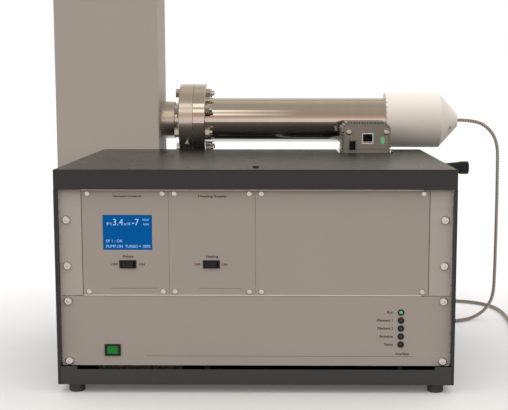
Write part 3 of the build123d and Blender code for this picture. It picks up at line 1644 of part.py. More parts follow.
cone_fall = (cap_d - cap_tip_d) / 2
cone_r = cap_d / 2 - cone_fall * cap_screw_along / cap_cone_w
cap_screw_front = cos(radians(cap_screw_angle))
cap_screw_down = sin(radians(cap_screw_angle))
cap_screw_out = Vector(
    cone_fall, -cap_cone_w * cap_screw_front, -cap_cone_w * cap_screw_down
).normalized()
cone_point = across_tube(cap_cone_x + cap_screw_along).origin + Vector(
    0, -cone_r * cap_screw_front, -cone_r * cap_screw_down
)
cap_screw_seat = Plane(
    origin=cone_point - cap_screw_out * cap_recess_depth, x_dir=(0, 0, 1), z_dir=cap_screw_out
)

with BuildPart() as inlet_cap:
    with BuildSketch(Plane(tube_axis.position, x_dir=(1, 0, 0), z_dir=(0, -1, 0))):
        with BuildLine():
            Polyline(
                (cap_body_x, cap_d / 2 - cap_wall),
                (cap_body_x, cap_d / 2),
                (cap_cone_x, cap_d / 2),
                (cap_tip_x, cap_tip_d / 2),
                (cap_tip_x, fitting_tube_d / 2 + shaft_fit),
                (cap_tip_x - 3 * cap_wall, fitting_tube_d / 2 + shaft_fit),
                (cap_cone_x - cap_wall / 2, cap_d / 2 - cap_wall),
                close=True,
            )
        make_face()
    revolve(axis=tube_axis)
    with BuildSketch(cap_screw_seat):
        Circle(cap_recess_d / 2)
    extrude(amount=2 * cap_recess_depth, mode=Mode.SUBTRACT)
    with BuildSketch(cap_screw_seat):
        Circle(cap_screw_d / 2 + shaft_fit)
    extrude(amount=-cap_screw_l, mode=Mode.SUBTRACT)
finish(inlet_cap, "inlet_cap")

with BuildPart() as inlet_fitting:
    with BuildSketch(Plane(tube_axis.position, x_dir=(1, 0, 0), z_dir=(0, -1, 0))):
        with BuildLine():
            Polyline(
                (tube_end_x - fitting_nose_l, 0),
                (tube_end_x - fitting_nose_l, inlet_bore_d / 2 - 4),
                (tube_end_x - end_plate_t, inlet_bore_d / 2 - hole_play),
                (tube_end_x, inlet_bore_d / 2 - hole_play),
                (tube_end_x, fitting_rim_d / 2),
                (tube_end_x + fitting_rim_t, fitting_rim_d / 2),
                (tube_end_x + fitting_rim_t, fitting_nut_d / 2),
                (tube_end_x + fitting_rim_t + fitting_nut_l, fitting_nut_d / 2),
                (tube_end_x + fitting_rim_t + fitting_nut_l, fitting_tube_d / 2),
                (cap_tip_x, fitting_tube_d / 2),
                (cap_tip_x, 0),
                close=True,
            )
        make_face()
    revolve(axis=tube_axis)
finish(inlet_fitting, "inlet_fitting")

# socket screws of the panel ears, of the drive unit's cover and of the cap
drive_screw = screw(7.8, 2.8, drive_screw_d, drive_cover_t, 1.6, 1.4)
cap_screw = screw(cap_screw_head_d, cap_screw_head_h, cap_screw_d, cap_screw_l, 1.7, 1.4)
with BuildPart() as panel_screws:
    with Locations(*ear_screw_places):
        add(ear_screw.part)
    with Locations(*[screw_place(x, drive_front - drive_cover_t, z) for x, z in drive_screw_places]):
        add(drive_screw.part)
    with Locations(cap_screw_seat):
        add(cap_screw.part)
finish(panel_screws, "panel_screws")

# ------------------------------------------------- armoured capillary inlet line
conduit_d = 6.0
lying = conduit_d / 2
exit_z = tube_z

# from the cap's tip, down beside the case, round behind it and forward again
conduit_route = [
    (cap_tip_x, tube_y, exit_z),
    (339.5, tube_y, exit_z),
    (363.1, tube_y, 309.6),
    (376.3, tube_y, 286.0),
    (377.0, 402.3, 242.0),
    (377.4, 402.4, 182.0),
    (377.3, 402.4, 122.0),
    (376.9, 402.3, 76.0),
    (375.9, 402.0, 38.0),
    (364.0, 401.0, 15.6),
    (342.0, 393.0, lying),
    (316.0, 374.0, lying),
    (284.0, 367.0, lying),
    (253.0, 383.0, lying),
    (233.0, 414.0, lying),
    (230.0, 452.0, lying),
    (246.0, 488.0, lying),
    (278.0, 513.0, lying),
    (317.0, 523.0, lying),
    (356.0, 516.0, lying),
    (384.0, 491.0, lying),
    (396.0, 455.0, lying),
    (398.0, 415.0, lying),
    (396.0, 377.0, lying),
    (394.0, 341.0, lying),
    (393.4, 306.0, lying),
]

coil_track_r = 39.0
coil_x = conduit_route[-1][0] + coil_track_r
coil_y = conduit_route[-1][1] - 6.0
coil_width = 3 * conduit_d
coil_outer_r = coil_track_r + conduit_d / 2
coil_inner_r = coil_outer_r - coil_width


def route_radii(points):
    """Largest arc at each corner: 0.45 of the shorter run over tan of half the turn."""
    radii = []
    for before, here, after in zip(points, points[1:], points[2:]):
        run_in = Vector(*here) - Vector(*before)
        run_out = Vector(*after) - Vector(*here)
        half_turn = radians(run_in.get_angle(run_out)) / 2
        shorter = min(run_in.length, run_out.length)
        radii.append(0.45 * shorter * cos(half_turn) / sin(half_turn))
    return radii


conduit_radii = route_radii(conduit_route)
conduit_start = Plane(
    origin=(case_x + cap_tip_x, case_y + tube_y, exit_z), x_dir=(0, 1, 0), z_dir=(1, 0, 0)
)
with BuildPart() as conduit:
    with BuildLine() as conduit_line:
        FilletPolyline(
            *[(case_x + x, case_y + y, z) for x, y, z in conduit_route], radius=conduit_radii
        )
    with BuildSketch(conduit_start):
        Circle(conduit_d / 2)
    sweep(path=conduit_line.wires()[0])
finish(conduit, "conduit")
conduit_length = conduit_line.wires()[0].length
print("conduit radii", [round(radius, 1) for radius in conduit_radii])
print("conduit length", round(conduit_length, 1))
print("volume over section times length",
      round(conduit.part.volume / (pi * conduit_d**2 / 4 * conduit_length), 5))

with BuildPart() as conduit_coil:
    coil_axis = Axis((case_x + coil_x, case_y + coil_y, 0), (0, 0, 1))
    with BuildSketch(Plane(coil_axis.position, x_dir=(1, 0, 0), z_dir=(0, -1, 0))):
        with BuildLine():
            Polyline(
                (coil_inner_r, 0),
                (coil_outer_r, 0),
                (coil_outer_r, conduit_d),
                (coil_outer_r - conduit_d, conduit_d),
                (coil_outer_r - conduit_d, 2 * conduit_d),
                (coil_inner_r, 2 * conduit_d),
                close=True,
            )
        make_face()
    revolve(axis=coil_axis)
finish(conduit_coil, "conduit_coil")

end_sleeve_d = 9.0
end_sleeve_l = 12.0
end_nut_af = 10.0
end_nut_l = 9.0
end_nose_d = 6.35
end_nose_l = 14.0
end_x = coil_x + coil_outer_r - conduit_d + end_nut_af / (2 * cos(pi / 6)) + gap
end_y = coil_y + conduit_d
end_z = conduit_d + end_nut_af / 2
with BuildPart() as conduit_fitting:
    with BuildSketch(facing(end_y + end_sleeve_l)):
        with Locations((end_x, end_z)):
            Circle(end_sleeve_d / 2)
    extrude(amount=end_sleeve_l)
    with BuildSketch(facing(end_y + end_sleeve_l + end_nut_l)):
        with Locations((end_x, end_z)):
            RegularPolygon(end_nut_af / 2, 6, major_radius=False)
    extrude(amount=end_nut_l)
    with BuildSketch(facing(end_y + end_sleeve_l + end_nut_l + end_nose_l)):
        with Locations((end_x, end_z)):
            Circle(end_nose_d / 2)
    extrude(amount=end_nose_l)
finish(conduit_fitting, "conduit_fitting")
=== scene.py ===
import json
import math

import bmesh
import bpy
from mathutils import Matrix, Vector


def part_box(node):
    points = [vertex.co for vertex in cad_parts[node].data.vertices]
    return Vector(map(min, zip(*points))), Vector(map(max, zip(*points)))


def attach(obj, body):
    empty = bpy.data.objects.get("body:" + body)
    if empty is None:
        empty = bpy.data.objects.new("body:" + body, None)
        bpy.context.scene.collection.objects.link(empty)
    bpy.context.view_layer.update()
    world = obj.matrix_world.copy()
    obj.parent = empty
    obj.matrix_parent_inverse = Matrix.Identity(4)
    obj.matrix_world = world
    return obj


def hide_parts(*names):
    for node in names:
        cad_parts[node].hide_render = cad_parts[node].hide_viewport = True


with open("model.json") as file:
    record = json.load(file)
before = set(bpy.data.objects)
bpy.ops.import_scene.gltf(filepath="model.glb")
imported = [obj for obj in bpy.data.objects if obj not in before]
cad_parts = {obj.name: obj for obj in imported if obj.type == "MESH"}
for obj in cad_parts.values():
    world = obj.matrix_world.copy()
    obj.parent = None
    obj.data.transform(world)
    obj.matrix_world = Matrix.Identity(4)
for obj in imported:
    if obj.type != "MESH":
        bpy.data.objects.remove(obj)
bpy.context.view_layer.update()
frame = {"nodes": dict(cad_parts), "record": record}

nodes = frame["nodes"]
scene = bpy.context.scene

# ------------------------------------------------------------------ frame helpers
# Case millimetres: x from the case's middle, y back from its front, z up from the bench.
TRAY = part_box("base_tray")
CASE_X = (TRAY[0][0] + TRAY[1][0]) * 500     # millimetres from the row frame to the case's middle
CASE_Y = TRAY[0][1] * 1000                   # and to the case's front


def at(x, y, z):
    """Case millimetres to metres in the row frame."""
    return Vector(((x + CASE_X) / 1000, (y + CASE_Y) / 1000, z / 1000))


def link(obj):
    scene.collection.objects.link(obj)
    return obj


def dress(obj, material):
    obj.data.materials.clear()
    obj.data.materials.append(material)


# ------------------------------------------------------------------------ camera
PHOTO_W = 508                            # pixels
FOCAL = 1019.5                           # focal length in pixels, fitted to the 19-inch panels
AXIS_SHIFT = 22                          # pixels from the picture's middle to the optical axis
SENSOR = 36                              # millimetres
CAMERA_PLACE = (36.5, -1231.3, 391.6)
CAMERA_DOWN = 7.16                       # degrees below the horizon
CAMERA_TURN = 0.52                       # degrees to the left

camera_data = bpy.data.cameras.new("camera")
camera_data.sensor_width = SENSOR
camera_data.sensor_fit = "HORIZONTAL"
camera_data.lens = FOCAL / PHOTO_W * SENSOR
camera_data.shift_x = -AXIS_SHIFT / PHOTO_W
camera_data.clip_start = 0.01
camera_data.clip_end = 50
camera = link(bpy.data.objects.new("camera", camera_data))
camera.location = at(*CAMERA_PLACE)
camera.rotation_euler = (math.radians(90 - CAMERA_DOWN), 0, math.radians(CAMERA_TURN))
scene.camera = camera
scene.view_settings.view_transform = "Standard"


# ------------------------------------------------------------------ shader helpers
def srgb(r, g, b):
    """0-255 display values to linear."""
    return tuple(
        (c / 255 / 12.92) if c / 255 <= 0.04045 else ((c / 255 + 0.055) / 1.055) ** 2.4
        for c in (r, g, b)
    )


def feed(tree, socket, value):
    """Links the socket to another one, or sets it to a plain value."""
    if isinstance(value, bpy.types.NodeSocket):
        tree.links.new(value, socket)
    else:
        socket.default_value = value


def math_node(tree, operation, a, b):
    node = tree.nodes.new("ShaderNodeMath")
    node.operation = operation
    feed(tree, node.inputs[0], a)
    feed(tree, node.inputs[1], b)
    return node.outputs[0]


def map_range(tree, value, low, high, to_low, to_high):
    node = tree.nodes.new("ShaderNodeMapRange")
    for name, number in zip(("From Min", "From Max", "To Min", "To Max"), (low, high, to_low, to_high)):
        node.inputs[name].default_value = number
    feed(tree, node.inputs["Value"], value)
    return node.outputs[0]


def mix_colours(tree, factor, a, b, blend="MIX"):
    node = tree.nodes.new("ShaderNodeMix")
    node.data_type = "RGBA"
    node.blend_type = blend
    for name, value in (("Factor", factor), ("A", a), ("B", b)):
        feed(tree, node.inputs[name], value)
    return node.outputs["Result"]


def seen_directly(tree, hidden, seen):
    """One colour for lighting, another for camera, glossy and transmission rays."""
    path = tree.nodes.new("ShaderNodeLightPath")
    direct = path.outputs["Is Camera Ray"]
    for name in ("Is Glossy Ray", "Is Transmission Ray"):
        direct = math_node(tree, "MAXIMUM", direct, path.outputs[name])
    return mix_colours(tree, direct, hidden, seen)


def noise(tree, coords, scale, detail, stretch):
    mapping = tree.nodes.new("ShaderNodeMapping")
    mapping.inputs["Scale"].default_value = stretch
    tree.links.new(coords, mapping.inputs["Vector"])
    node = tree.nodes.new("ShaderNodeTexNoise")
    node.inputs["Scale"].default_value = scale
    node.inputs["Detail"].default_value = detail
    tree.links.new(mapping.outputs[0], node.inputs["Vector"])
    return node.outputs["Fac"]


def spread(tree, value, low, high):
    """Noise, which stays mostly between 0.3 and 0.7, to a range."""
    return map_range(tree, value, 0.3, 0.7, low, high)


def new_material(name):
    material = bpy.data.materials.new(name)
    material.use_nodes = True
    tree = material.node_tree
    tree.nodes.clear()
    out = tree.nodes.new("ShaderNodeOutputMaterial")
    shader = tree.nodes.new("ShaderNodeBsdfPrincipled")
    tree.links.new(shader.outputs[0], out.inputs[0])
    return material, tree, shader


# --------------------------------------------------------------------- materials
BUMP_DEPTH = 0.0002          # metres
GLOSS_SCALE = 6              # the gloss varies this much finer than the colour


def surface(
    name, colour, rough=0.5, metallic=0.0, vary=0.05, vary_scale=9.0, grain=0.0, grain_scale=1500.0,
    stretch=(1, 1, 1), rough_vary=0.06, specular=0.5, coat=0.0, emission=0.0,
):
    """Base colour with soft variation, uneven gloss and a fine grain in the bump."""
    material, tree, shader = new_material(name)
    coords = tree.nodes.new("ShaderNodeTexCoord").outputs["Object"]
    darker = (*[max(0, c * (1 - vary)) for c in colour], 1)
    lighter = (*[min(1, c * (1 + vary)) for c in colour], 1)
    tone = spread(tree, noise(tree, coords, vary_scale, 3, stretch), 0, 1)
    gloss = noise(tree, coords, vary_scale * GLOSS_SCALE, 2, stretch)
    feed(tree, shader.inputs["Base Color"], mix_colours(tree, tone, darker, lighter))
    feed(tree, shader.inputs["Roughness"], spread(tree, gloss, rough - rough_vary, rough + rough_vary))
    shader.inputs["Metallic"].default_value = metallic
    shader.inputs["Specular IOR Level"].default_value = specular
    shader.inputs["Coat Weight"].default_value = coat
    if emission:
        shader.inputs["Emission Color"].default_value = (*colour, 1)
        shader.inputs["Emission Strength"].default_value = emission
    if grain:
        bump = tree.nodes.new("ShaderNodeBump")
        bump.inputs["Strength"].default_value = grain
        bump.inputs["Distance"].default_value = BUMP_DEPTH
        feed(tree, bump.inputs["Height"], noise(tree, coords, grain_scale, 2, stretch))
        feed(tree, shader.inputs["Normal"], bump.outputs[0])
    return material


def paint(name, colour, vary=0.02, vary_scale=6, grain_scale=2600, **more):
    """Powder coat with a very fine texture."""
    return surface(
        name, colour, vary=vary, vary_scale=vary_scale, grain=0.15, grain_scale=grain_scale, **more
    )


def case_paint(name, colour, **more):
    """The smoother dark coat of the case's sheets."""
    return paint(name, colour, vary_scale=7, grain_scale=2200, rough_vary=0.03, **more)


def metal(name, colour, rough, vary_scale=60, grain=0.1, grain_scale=900, **more):
    return surface(
        name, colour, rough, metallic=1.0, vary_scale=vary_scale, grain=grain, grain_scale=grain_scale, **more
    )


def plastic(name, colour, rough, vary_scale=30, grain_scale=900, **more):
    """Anything moulded, cast or fired that isn't bare metal."""
    return surface(name, colour, rough, vary_scale=vary_scale, grain_scale=grain_scale, **more)


def lamp_glass(name, colour):
    return surface(name, colour, rough=0.15, vary=0.2, vary_scale=90, coat=0.2)


# which way a finish is drawn out: brushed along X, turned round X, turned round Z
ALONG_X = (0.02, 1, 1)
ROUND_X = (1, 0.02, 0.02)
ROUND_Z = (0.02, 0.02, 1)

# by material slot
MATERIALS = {
    "dark_case_paint": case_paint("case_paint", srgb(25, 26, 24), rough=0.3, vary=0.05),
    "grey_panel_paint": paint("panel_paint", srgb(176, 164, 153)),
    "head_paint": paint("head_paint", srgb(189, 177, 166), vary_scale=5, grain_scale=2400, specular=0.08),
    "bare_aluminium": metal("brushed_aluminium", (0.58, 0.55, 0.50), 0.3, grain=0.2, stretch=ALONG_X),
    "pump_aluminium": metal("machined_aluminium", (0.55, 0.55, 0.55), 0.3, grain=0.15, stretch=ROUND_Z),
    "zinc_steel": metal("zinc_steel", (0.62, 0.61, 0.58), 0.28, vary_scale=70, vary=0.08),
    "vacuum_steel": metal(
        "turned_steel", (0.60, 0.585, 0.56), 0.05, vary_scale=90, grain=0, vary=0.02, stretch=ROUND_X,
        rough_vary=0.01,
    ),
    "rod_steel": metal(
        "polished_steel", (0.7, 0.7, 0.7), 0.08, vary_scale=40, grain=0.05, vary=0.03, stretch=ROUND_X
    ),
    "conduit_steel": metal(
        "conduit_steel", (0.34, 0.31, 0.28), 0.28, vary_scale=120, grain_scale=1500, vary=0.1
    ),
    "blackened_steel": surface(
        "blackened_steel", (0.02, 0.02, 0.021), 0.3, metallic=0.6, vary=0.1, vary_scale=60, grain=0.1,
        grain_scale=900,
    ),
    "copper": metal("copper", (0.72, 0.36, 0.2), 0.3, vary_scale=50, vary=0.1),
    "brass": metal("brass", (0.66, 0.46, 0.2), 0.25, vary_scale=50, vary=0.1),
    "cast_pump": plastic(
        "cast_pump", (0.035, 0.036, 0.04), 0.6, vary=0.1, grain=0.3, grain_scale=500, specular=0.2
    ),
    "drive_plastic": plastic(
        "drive_extrusion", srgb(134, 128, 118), 0.36, metallic=0.3, vary=0.06, grain=0.2, grain_scale=1200
    ),
    "cap_plastic": plastic(
        "cap_plastic", srgb(233, 223, 211), 0.4, vary=0.01, vary_scale=12, grain=0.05, grain_scale=1400,
        specular=0.04,
    ),
    "black_plastic": plastic(
        "black_plastic", (0.012, 0.012, 0.013), 0.42, vary=0.2, vary_scale=20, grain=0.3, grain_scale=1800,
        specular=0.25,
    ),
    "rubber": plastic(
        "rubber", srgb(58, 60, 58), 0.65, vary=0.12, vary_scale=25, grain=0.4, grain_scale=1500
    ),
    "hose": plastic("hose", (0.30, 0.31, 0.31), 0.5, vary=0.1, grain=0.2),
    "ceramic": plastic("ceramic", (0.8, 0.79, 0.74), 0.5, vary=0.04, grain=0.2),
    "circuit_board": plastic(
        "circuit_board", (0.01, 0.06, 0.03), 0.4, vary=0.25, vary_scale=60, grain=0.1, grain_scale=700
    ),
    "display_blue": plastic(
        "display_blue", srgb(4, 92, 162), 0.3, vary=0.03, specular=0.04, emission=0.15
    ),
    "rocker_green": plastic(
        "rocker_green", (0.016, 0.17, 0.03), 0.3, vary=0.1, vary_scale=60, grain=0.1, grain_scale=1500,
        specular=0.1, emission=0.25,
    ),
    "lamp_lit_green": plastic(
        "lamp_lit_green", (0.1, 0.40, 0.15), 0.25, vary=0.1, vary_scale=60, coat=0.2, emission=0.3
    ),
    "lamp_green": lamp_glass("lamp_green", (0.012, 0.04, 0.02)),
    "lamp_red": lamp_glass("lamp_red", (0.035, 0.01, 0.014)),
}
# nodes that look a little different from the others in their material slot
OWN_MATERIALS = {
    "probe_flange": metal(
        "satin_steel", (0.60, 0.58, 0.54), 0.22, vary_scale=90, grain=0.05, grain_scale=1500, vary=0.03,
        stretch=ROUND_X,
    ),
    "subrack": paint("ear_paint", srgb(190, 178, 167)),
    "base_tray": case_paint("tray_paint", srgb(52, 53, 50), rough=0.4, vary=0.04),
}
SLOT_OF = {row["node"]: row["material_slot"] for row in frame["record"]["subparts"]}

for node_name, node in nodes.items():
    dress(node, OWN_MATERIALS.get(node_name, MATERIALS[SLOT_OF[node_name]]))

# folded and cut edges of the sheet metal catch the light
SHEET_METAL = (
    "top_cover", "base_tray", "side_panel_left", "side_panel_right", "head_shell",
    "vacuum_module_panel", "supply_module_panel", "blank_module_panel", "lower_panel",
)
EDGE_WIDTH = 0.0006          # metres
EDGE_ANGLE = 40              # degrees, only sharper folds are softened

for node_name in SHEET_METAL:
    bevel = nodes[node_name].modifiers.new("edges", "BEVEL")
    bevel.width = EDGE_WIDTH
    bevel.segments = 2
    bevel.limit_method = "ANGLE"
    bevel.angle_limit = math.radians(EDGE_ANGLE)

# --------------------------------------------------------------------------- floor
# in metres, in the row frame
FLOOR_SIDE = 30
FLOOR_FRONT = -8
FLOOR_BACK = 60
FADE_END = 0.5               # the floor's colour changes from the frame's own zero to here
# painted shadow: seen in polished metal, the floor is painted dark close behind the case
SHADE_FRONT = (335 + CASE_Y) / 1000
SHADE_BACK = (520 + CASE_Y) / 1000
SHADE_RIGHT = (330 + CASE_X) / 1000
SHADE_EDGE = 0.02
SHADE_SIDE_EDGE = 0.05

# painted shade: FLOOR_NEAR makes the floor darker in front of and under the case, fading to FLOOR_FAR behind
# it
FLOOR_NEAR = (0.70, 0.688, 0.67, 1)
FLOOR_FAR = (0.80, 0.80, 0.80, 1)
# the colour of the painted shadow on the floor, seen in mirrors
FLOOR_PAINTED_SHADOW = (0.02, 0.02, 0.02, 1)
FLOOR_HIDDEN = (0.08, 0.08, 0.08, 1)         # for the light that the floor throws up
FLOOR_GLOW = (0.08, 0.077, 0.072, 1)
BLACK = (0, 0, 0, 1)
WHITE = (1, 1, 1, 1)


def painted_shadow_strip(tree, place):
    """1 in mirrors where the floor's painted shadow lies, close behind the case, else 0."""
    strip = None
    for axis, edge, fade in (
        ("Y", SHADE_FRONT, SHADE_EDGE), ("Y", SHADE_BACK, -SHADE_EDGE), ("X", SHADE_RIGHT, -SHADE_SIDE_EDGE)
    ):
        inside = map_range(tree, place.outputs[axis], edge, edge + fade, 0, 1)
        strip = inside if strip is None else math_node(tree, "MULTIPLY", strip, inside)
    mirrored = tree.nodes.new("ShaderNodeLightPath").outputs["Is Glossy Ray"]
    return math_node(tree, "MULTIPLY", strip, mirrored)


def floor_material():
    """White for the camera, with painted shade darkening it near the case, dark for the light that it throws
    up and, behind the case, painted dark as a shadow in mirrors.
    """
    material, tree, shader = new_material("floor")
    shader.inputs["Roughness"].default_value = 0.9
    shader.inputs["Specular IOR Level"].default_value = 0.0
    place = tree.nodes.new("ShaderNodeSeparateXYZ")
    feed(tree, place.inputs[0], tree.nodes.new("ShaderNodeNewGeometry").outputs["Position"])
    strip = painted_shadow_strip(tree, place)
    away = map_range(tree, place.outputs["Y"], 0.0, FADE_END, 0, 1)
    white = mix_colours(tree, strip, mix_colours(tree, away, FLOOR_NEAR, FLOOR_FAR), FLOOR_PAINTED_SHADOW)
    glow = mix_colours(tree, strip, FLOOR_GLOW, BLACK)
    feed(tree, shader.inputs["Base Color"], seen_directly(tree, FLOOR_HIDDEN, white))
    feed(tree, shader.inputs["Emission Color"], seen_directly(tree, BLACK, glow))
    shader.inputs["Emission Strength"].default_value = 1.0
    return material


def plane(name, side, front, back):
    mesh = bpy.data.meshes.new(name)
    corners = [(-side, front, 0), (side, front, 0), (side, back, 0), (-side, back, 0)]
    mesh.from_pydata(corners, [], [(0, 1, 2, 3)])
    return link(bpy.data.objects.new(name, mesh))


floor = plane("floor", FLOOR_SIDE, FLOOR_FRONT, FLOOR_BACK)
dress(floor, floor_material())

# ------------------------------------------------------------------------ lighting
# What polished metal mirrors, by the angle round the X axis in degrees: 0 towards the camera,
# 90 overhead, 180 behind.
STUDIO = [
    (-180, (1.0, 1.0, 1.0)), (-12, (0.8, 0.76, 0.7)), (-4, (0.95, 0.8, 0.7)), (8, (1.05, 0.84, 0.72)),
    (14, (0.72, 0.5, 0.4)), (19, (0.66, 0.47, 0.37)), (28, (0.5, 0.38, 0.3)), (60, (0.5, 0.42, 0.34)),
    (88, (0.5, 0.43, 0.34)), (98, (0.56, 0.47, 0.37)), (104, (0.68, 0.56, 0.42)),
    (116, (0.74, 0.62, 0.46)), (126, (0.6, 0.52, 0.4)), (140, (0.72, 0.66, 0.56)),
    (155, (0.85, 0.8, 0.7)), (161, (0.95, 0.93, 0.86)), (167, (0.5, 0.47, 0.42)),
    (176, (0.5, 0.47, 0.42)),
]
# two softboxes that stand on the left alone
NO_LIGHT = (0.0, 0.0, 0.0)
SOFTBOXES = [
    (-180, NO_LIGHT), (24, NO_LIGHT), (29, (1.2, 1.1, 0.95)), (35, (1.2, 1.1, 0.95)),
    (38, (0.3, 0.26, 0.2)), (42, (0.3, 0.26, 0.2)), (47, (1.25, 1.15, 1.0)), (54, (1.25, 1.15, 1.0)),
    (58, NO_LIGHT), (180, NO_LIGHT),
]
# the sideways share of a ray's direction where the softboxes start and where they are full
LEFT_START = 0.012
LEFT_FULL = -0.075
DOME = 1.25                  # strength of the even dome of light above the bench
HORIZON = 0.02               # half the height of the dome's soft rim

KEY_PLACE = (-0.4, -1.0, 2.6)
KEY_TARGET = (0, 0, 0.2)
KEY_SIZE = 2.0
KEY_POWER = 3


def turned_ramp(tree, value, stops):
    """Colours by the angle round the X axis."""
    node = tree.nodes.new("ShaderNodeValToRGB")
    ramp = node.color_ramp
    while len(ramp.elements) < len(stops):
        ramp.elements.new(0.5)
    for stop, (degrees, colour) in zip(ramp.elements, stops):
        stop.position = (degrees + 180) / 360
        stop.color = (*colour, 1)
    feed(tree, node.inputs["Fac"], value)
    return node.outputs["Color"]


def studio_world():
    """A dome for the lighting, the studio for what metal mirrors, and plain white for the camera."""
    world = bpy.data.worlds.new("studio")
    world.use_nodes = True
    tree = world.node_tree
    split = tree.nodes.new("ShaderNodeSeparateXYZ")
    feed(tree, split.inputs[0], tree.nodes.new("ShaderNodeTexCoord").outputs["Generated"])
    forward = math_node(tree, "MULTIPLY", split.outputs["Y"], -1)
    turned = math_node(tree, "ARCTAN2", split.outputs["Z"], forward)
    turned = map_range(tree, turned, -math.pi, math.pi, 0, 1)
    leftward = map_range(tree, split.outputs["X"], LEFT_START, LEFT_FULL, 0, 1)
    softboxes = mix_colours(tree, leftward, BLACK, turned_ramp(tree, turned, SOFTBOXES))
    studio = mix_colours(tree, 1.0, turned_ramp(tree, turned, STUDIO), softboxes, "ADD")
    camera_ray = tree.nodes.new("ShaderNodeLightPath").outputs["Is Camera Ray"]
    seen = mix_colours(tree, camera_ray, studio, WHITE)
    dome = map_range(tree, split.outputs["Z"], -HORIZON, HORIZON, 0, DOME)
    feed(tree, tree.nodes["Background"].inputs["Color"], seen_directly(tree, dome, seen))
    return world


def area_light(name, place, target, size, power):
    data = bpy.data.lights.new(name, "AREA")
    data.shape = "RECTANGLE"
    data.size = size
    data.size_y = size
    data.energy = power
    light = link(bpy.data.objects.new(name, data))
    light.location = place
    light.rotation_euler = (Vector(target) - Vector(place)).to_track_quat("-Z", "Y").to_euler()
    light.visible_glossy = False          # polished metal mirrors the studio's own softboxes instead
    return light


scene.world = studio_world()
area_light("key", KEY_PLACE, KEY_TARGET, KEY_SIZE, KEY_POWER)

# ------------------------------------------------------------- armoured inlet line
CONDUIT_D = 6.0
# from the cap's tip down to the bench, round behind the case and out on the right
ROUTE = [
    (309.5, 402.0, 323.2), (339.5, 402.0, 323.2), (363.1, 402.0, 309.6), (376.3, 402.0, 286.0),
    (377.0, 402.3, 242.0), (377.4, 402.4, 182.0), (377.3, 402.4, 122.0), (376.9, 402.3, 76.0),
    (375.9, 402.0, 38.0), (364.0, 401.0, 15.6), (342.0, 393.0, 3.0), (316.0, 374.0, 3.0),
    (284.0, 367.0, 3.0), (253.0, 383.0, 3.0), (233.0, 414.0, 3.0), (230.0, 452.0, 3.0),
    (246.0, 488.0, 3.0), (278.0, 513.0, 3.0), (317.0, 523.0, 3.0), (356.0, 516.0, 3.0),
    (384.0, 491.0, 3.0), (396.0, 455.0, 3.0), (398.0, 415.0, 3.0), (396.0, 377.0, 3.0),
    (394.0, 341.0, 3.0), (393.4, 306.0, 3.0),
]
# from the coil to the end fitting
LAST_POINTS = [
    (448.9, 271.4, 9.0), (461.0, 278.4, 9.8), (470.6, 287.6, 10.6), (474.5, 297.0, 11.0),
    (474.5, 306.0, 11.0),
]
COIL_X = 432.4
COIL_Y = 300.0
# radius and height at each whole turn of the coil, counted from its left side
TURNS = [(39, 3), (33, 3), (27, 3), (27, 9), (33, 9), (33, 9)]
COIL_TURNS = 4.25
POINTS_A_TURN = 16
CLIMBING_TURN = 2            # where the line rises to its upper layer
CLIMB_INWARD = 2.3

RIB_PITCH = 4.0
RIB_PROFILE = (1.0, 1.0, 0.9, 0.7, 0.9)      # radius along one rib, as a share of the line's
TUBE_SIDES = 12
CREST_COLOUR = (0.52, 0.47, 0.42, 1)
# the grooves' colour is painted shade between the ribs
GROOVE_SHADE_COLOUR = (0.05, 0.045, 0.04, 1)


def coil_points(turns):
    """Points of the wound spare length, radius and height changing along each turn."""
    points = []
    for step in range(1, int(turns * POINTS_A_TURN) + 1):
        turn = step / POINTS_A_TURN
        whole = min(int(turn), len(TURNS) - 2)
        share = turn - whole
        inward = CLIMB_INWARD * math.sin(math.pi * share) if whole == CLIMBING_TURN else 0
        share = share * share * (3 - 2 * share)
        r = TURNS[whole][0] * (1 - share) + TURNS[whole + 1][0] * share - inward
        z = TURNS[whole][1] * (1 - share) + TURNS[whole + 1][1] * share
        angle = math.pi + 2 * math.pi * turn
        points.append((COIL_X + r * math.cos(angle), COIL_Y + r * math.sin(angle), z))
    return points


def spline_curve(name, points):
    curve = bpy.data.curves.new(name, "CURVE")
    curve.dimensions = "3D"
    spline = curve.splines.new("NURBS")
    spline.points.add(len(points) - 1)
    for point, place in zip(spline.points, points):
        point.co = (*at(*place), 1)
    spline.order_u = 3
    spline.use_endpoint_u = True
    spline.resolution_u = 12
    return curve


def curve_line(curve):
    """The points of the curve's own line."""
    holder = link(bpy.data.objects.new("line", curve))
    bpy.context.view_layer.update()
    mesh = bpy.data.meshes.new_from_object(holder.evaluated_get(bpy.context.evaluated_depsgraph_get()))
    points = [v.co.copy() for v in mesh.vertices]
    bpy.data.objects.remove(holder)
    bpy.data.meshes.remove(mesh)
    return points


def evenly(points, step):
    """The same line with points a fixed step apart, and its length."""
    total = sum((b - a).length for a, b in zip(points, points[1:]))
    count = max(2, round(total / step))
    out = [points[0].copy()]
    walked = 0.0
    index = 0
    for k in range(1, count):
        want = total * k / count
        while walked + (points[index + 1] - points[index]).length < want:
            walked += (points[index + 1] - points[index]).length
            index += 1
        part = points[index + 1] - points[index]
        out.append(points[index] + part * ((want - walked) / part.length))
    out.append(points[-1].copy())
    return out, total


def tube_rings(bm, points, radii, sides):
    """A ring of vertices round each point, turned with the line and never twisted."""
    rings = []
    normal = (points[1] - points[0]).normalized().orthogonal().normalized()
    for k, place in enumerate(points):
        ahead = points[min(k + 1, len(points) - 1)] - points[max(k - 1, 0)]
        tangent = ahead.normalized()
        normal = (normal - tangent * normal.dot(tangent)).normalized()
        side = tangent.cross(normal)
        ring = []
        for s in range(sides):
            angle = 2 * math.pi * s / sides
            ring.append(bm.verts.new(place + (normal * math.cos(angle) + side * math.sin(angle)) * radii[k]))
        rings.append(ring)
    return rings


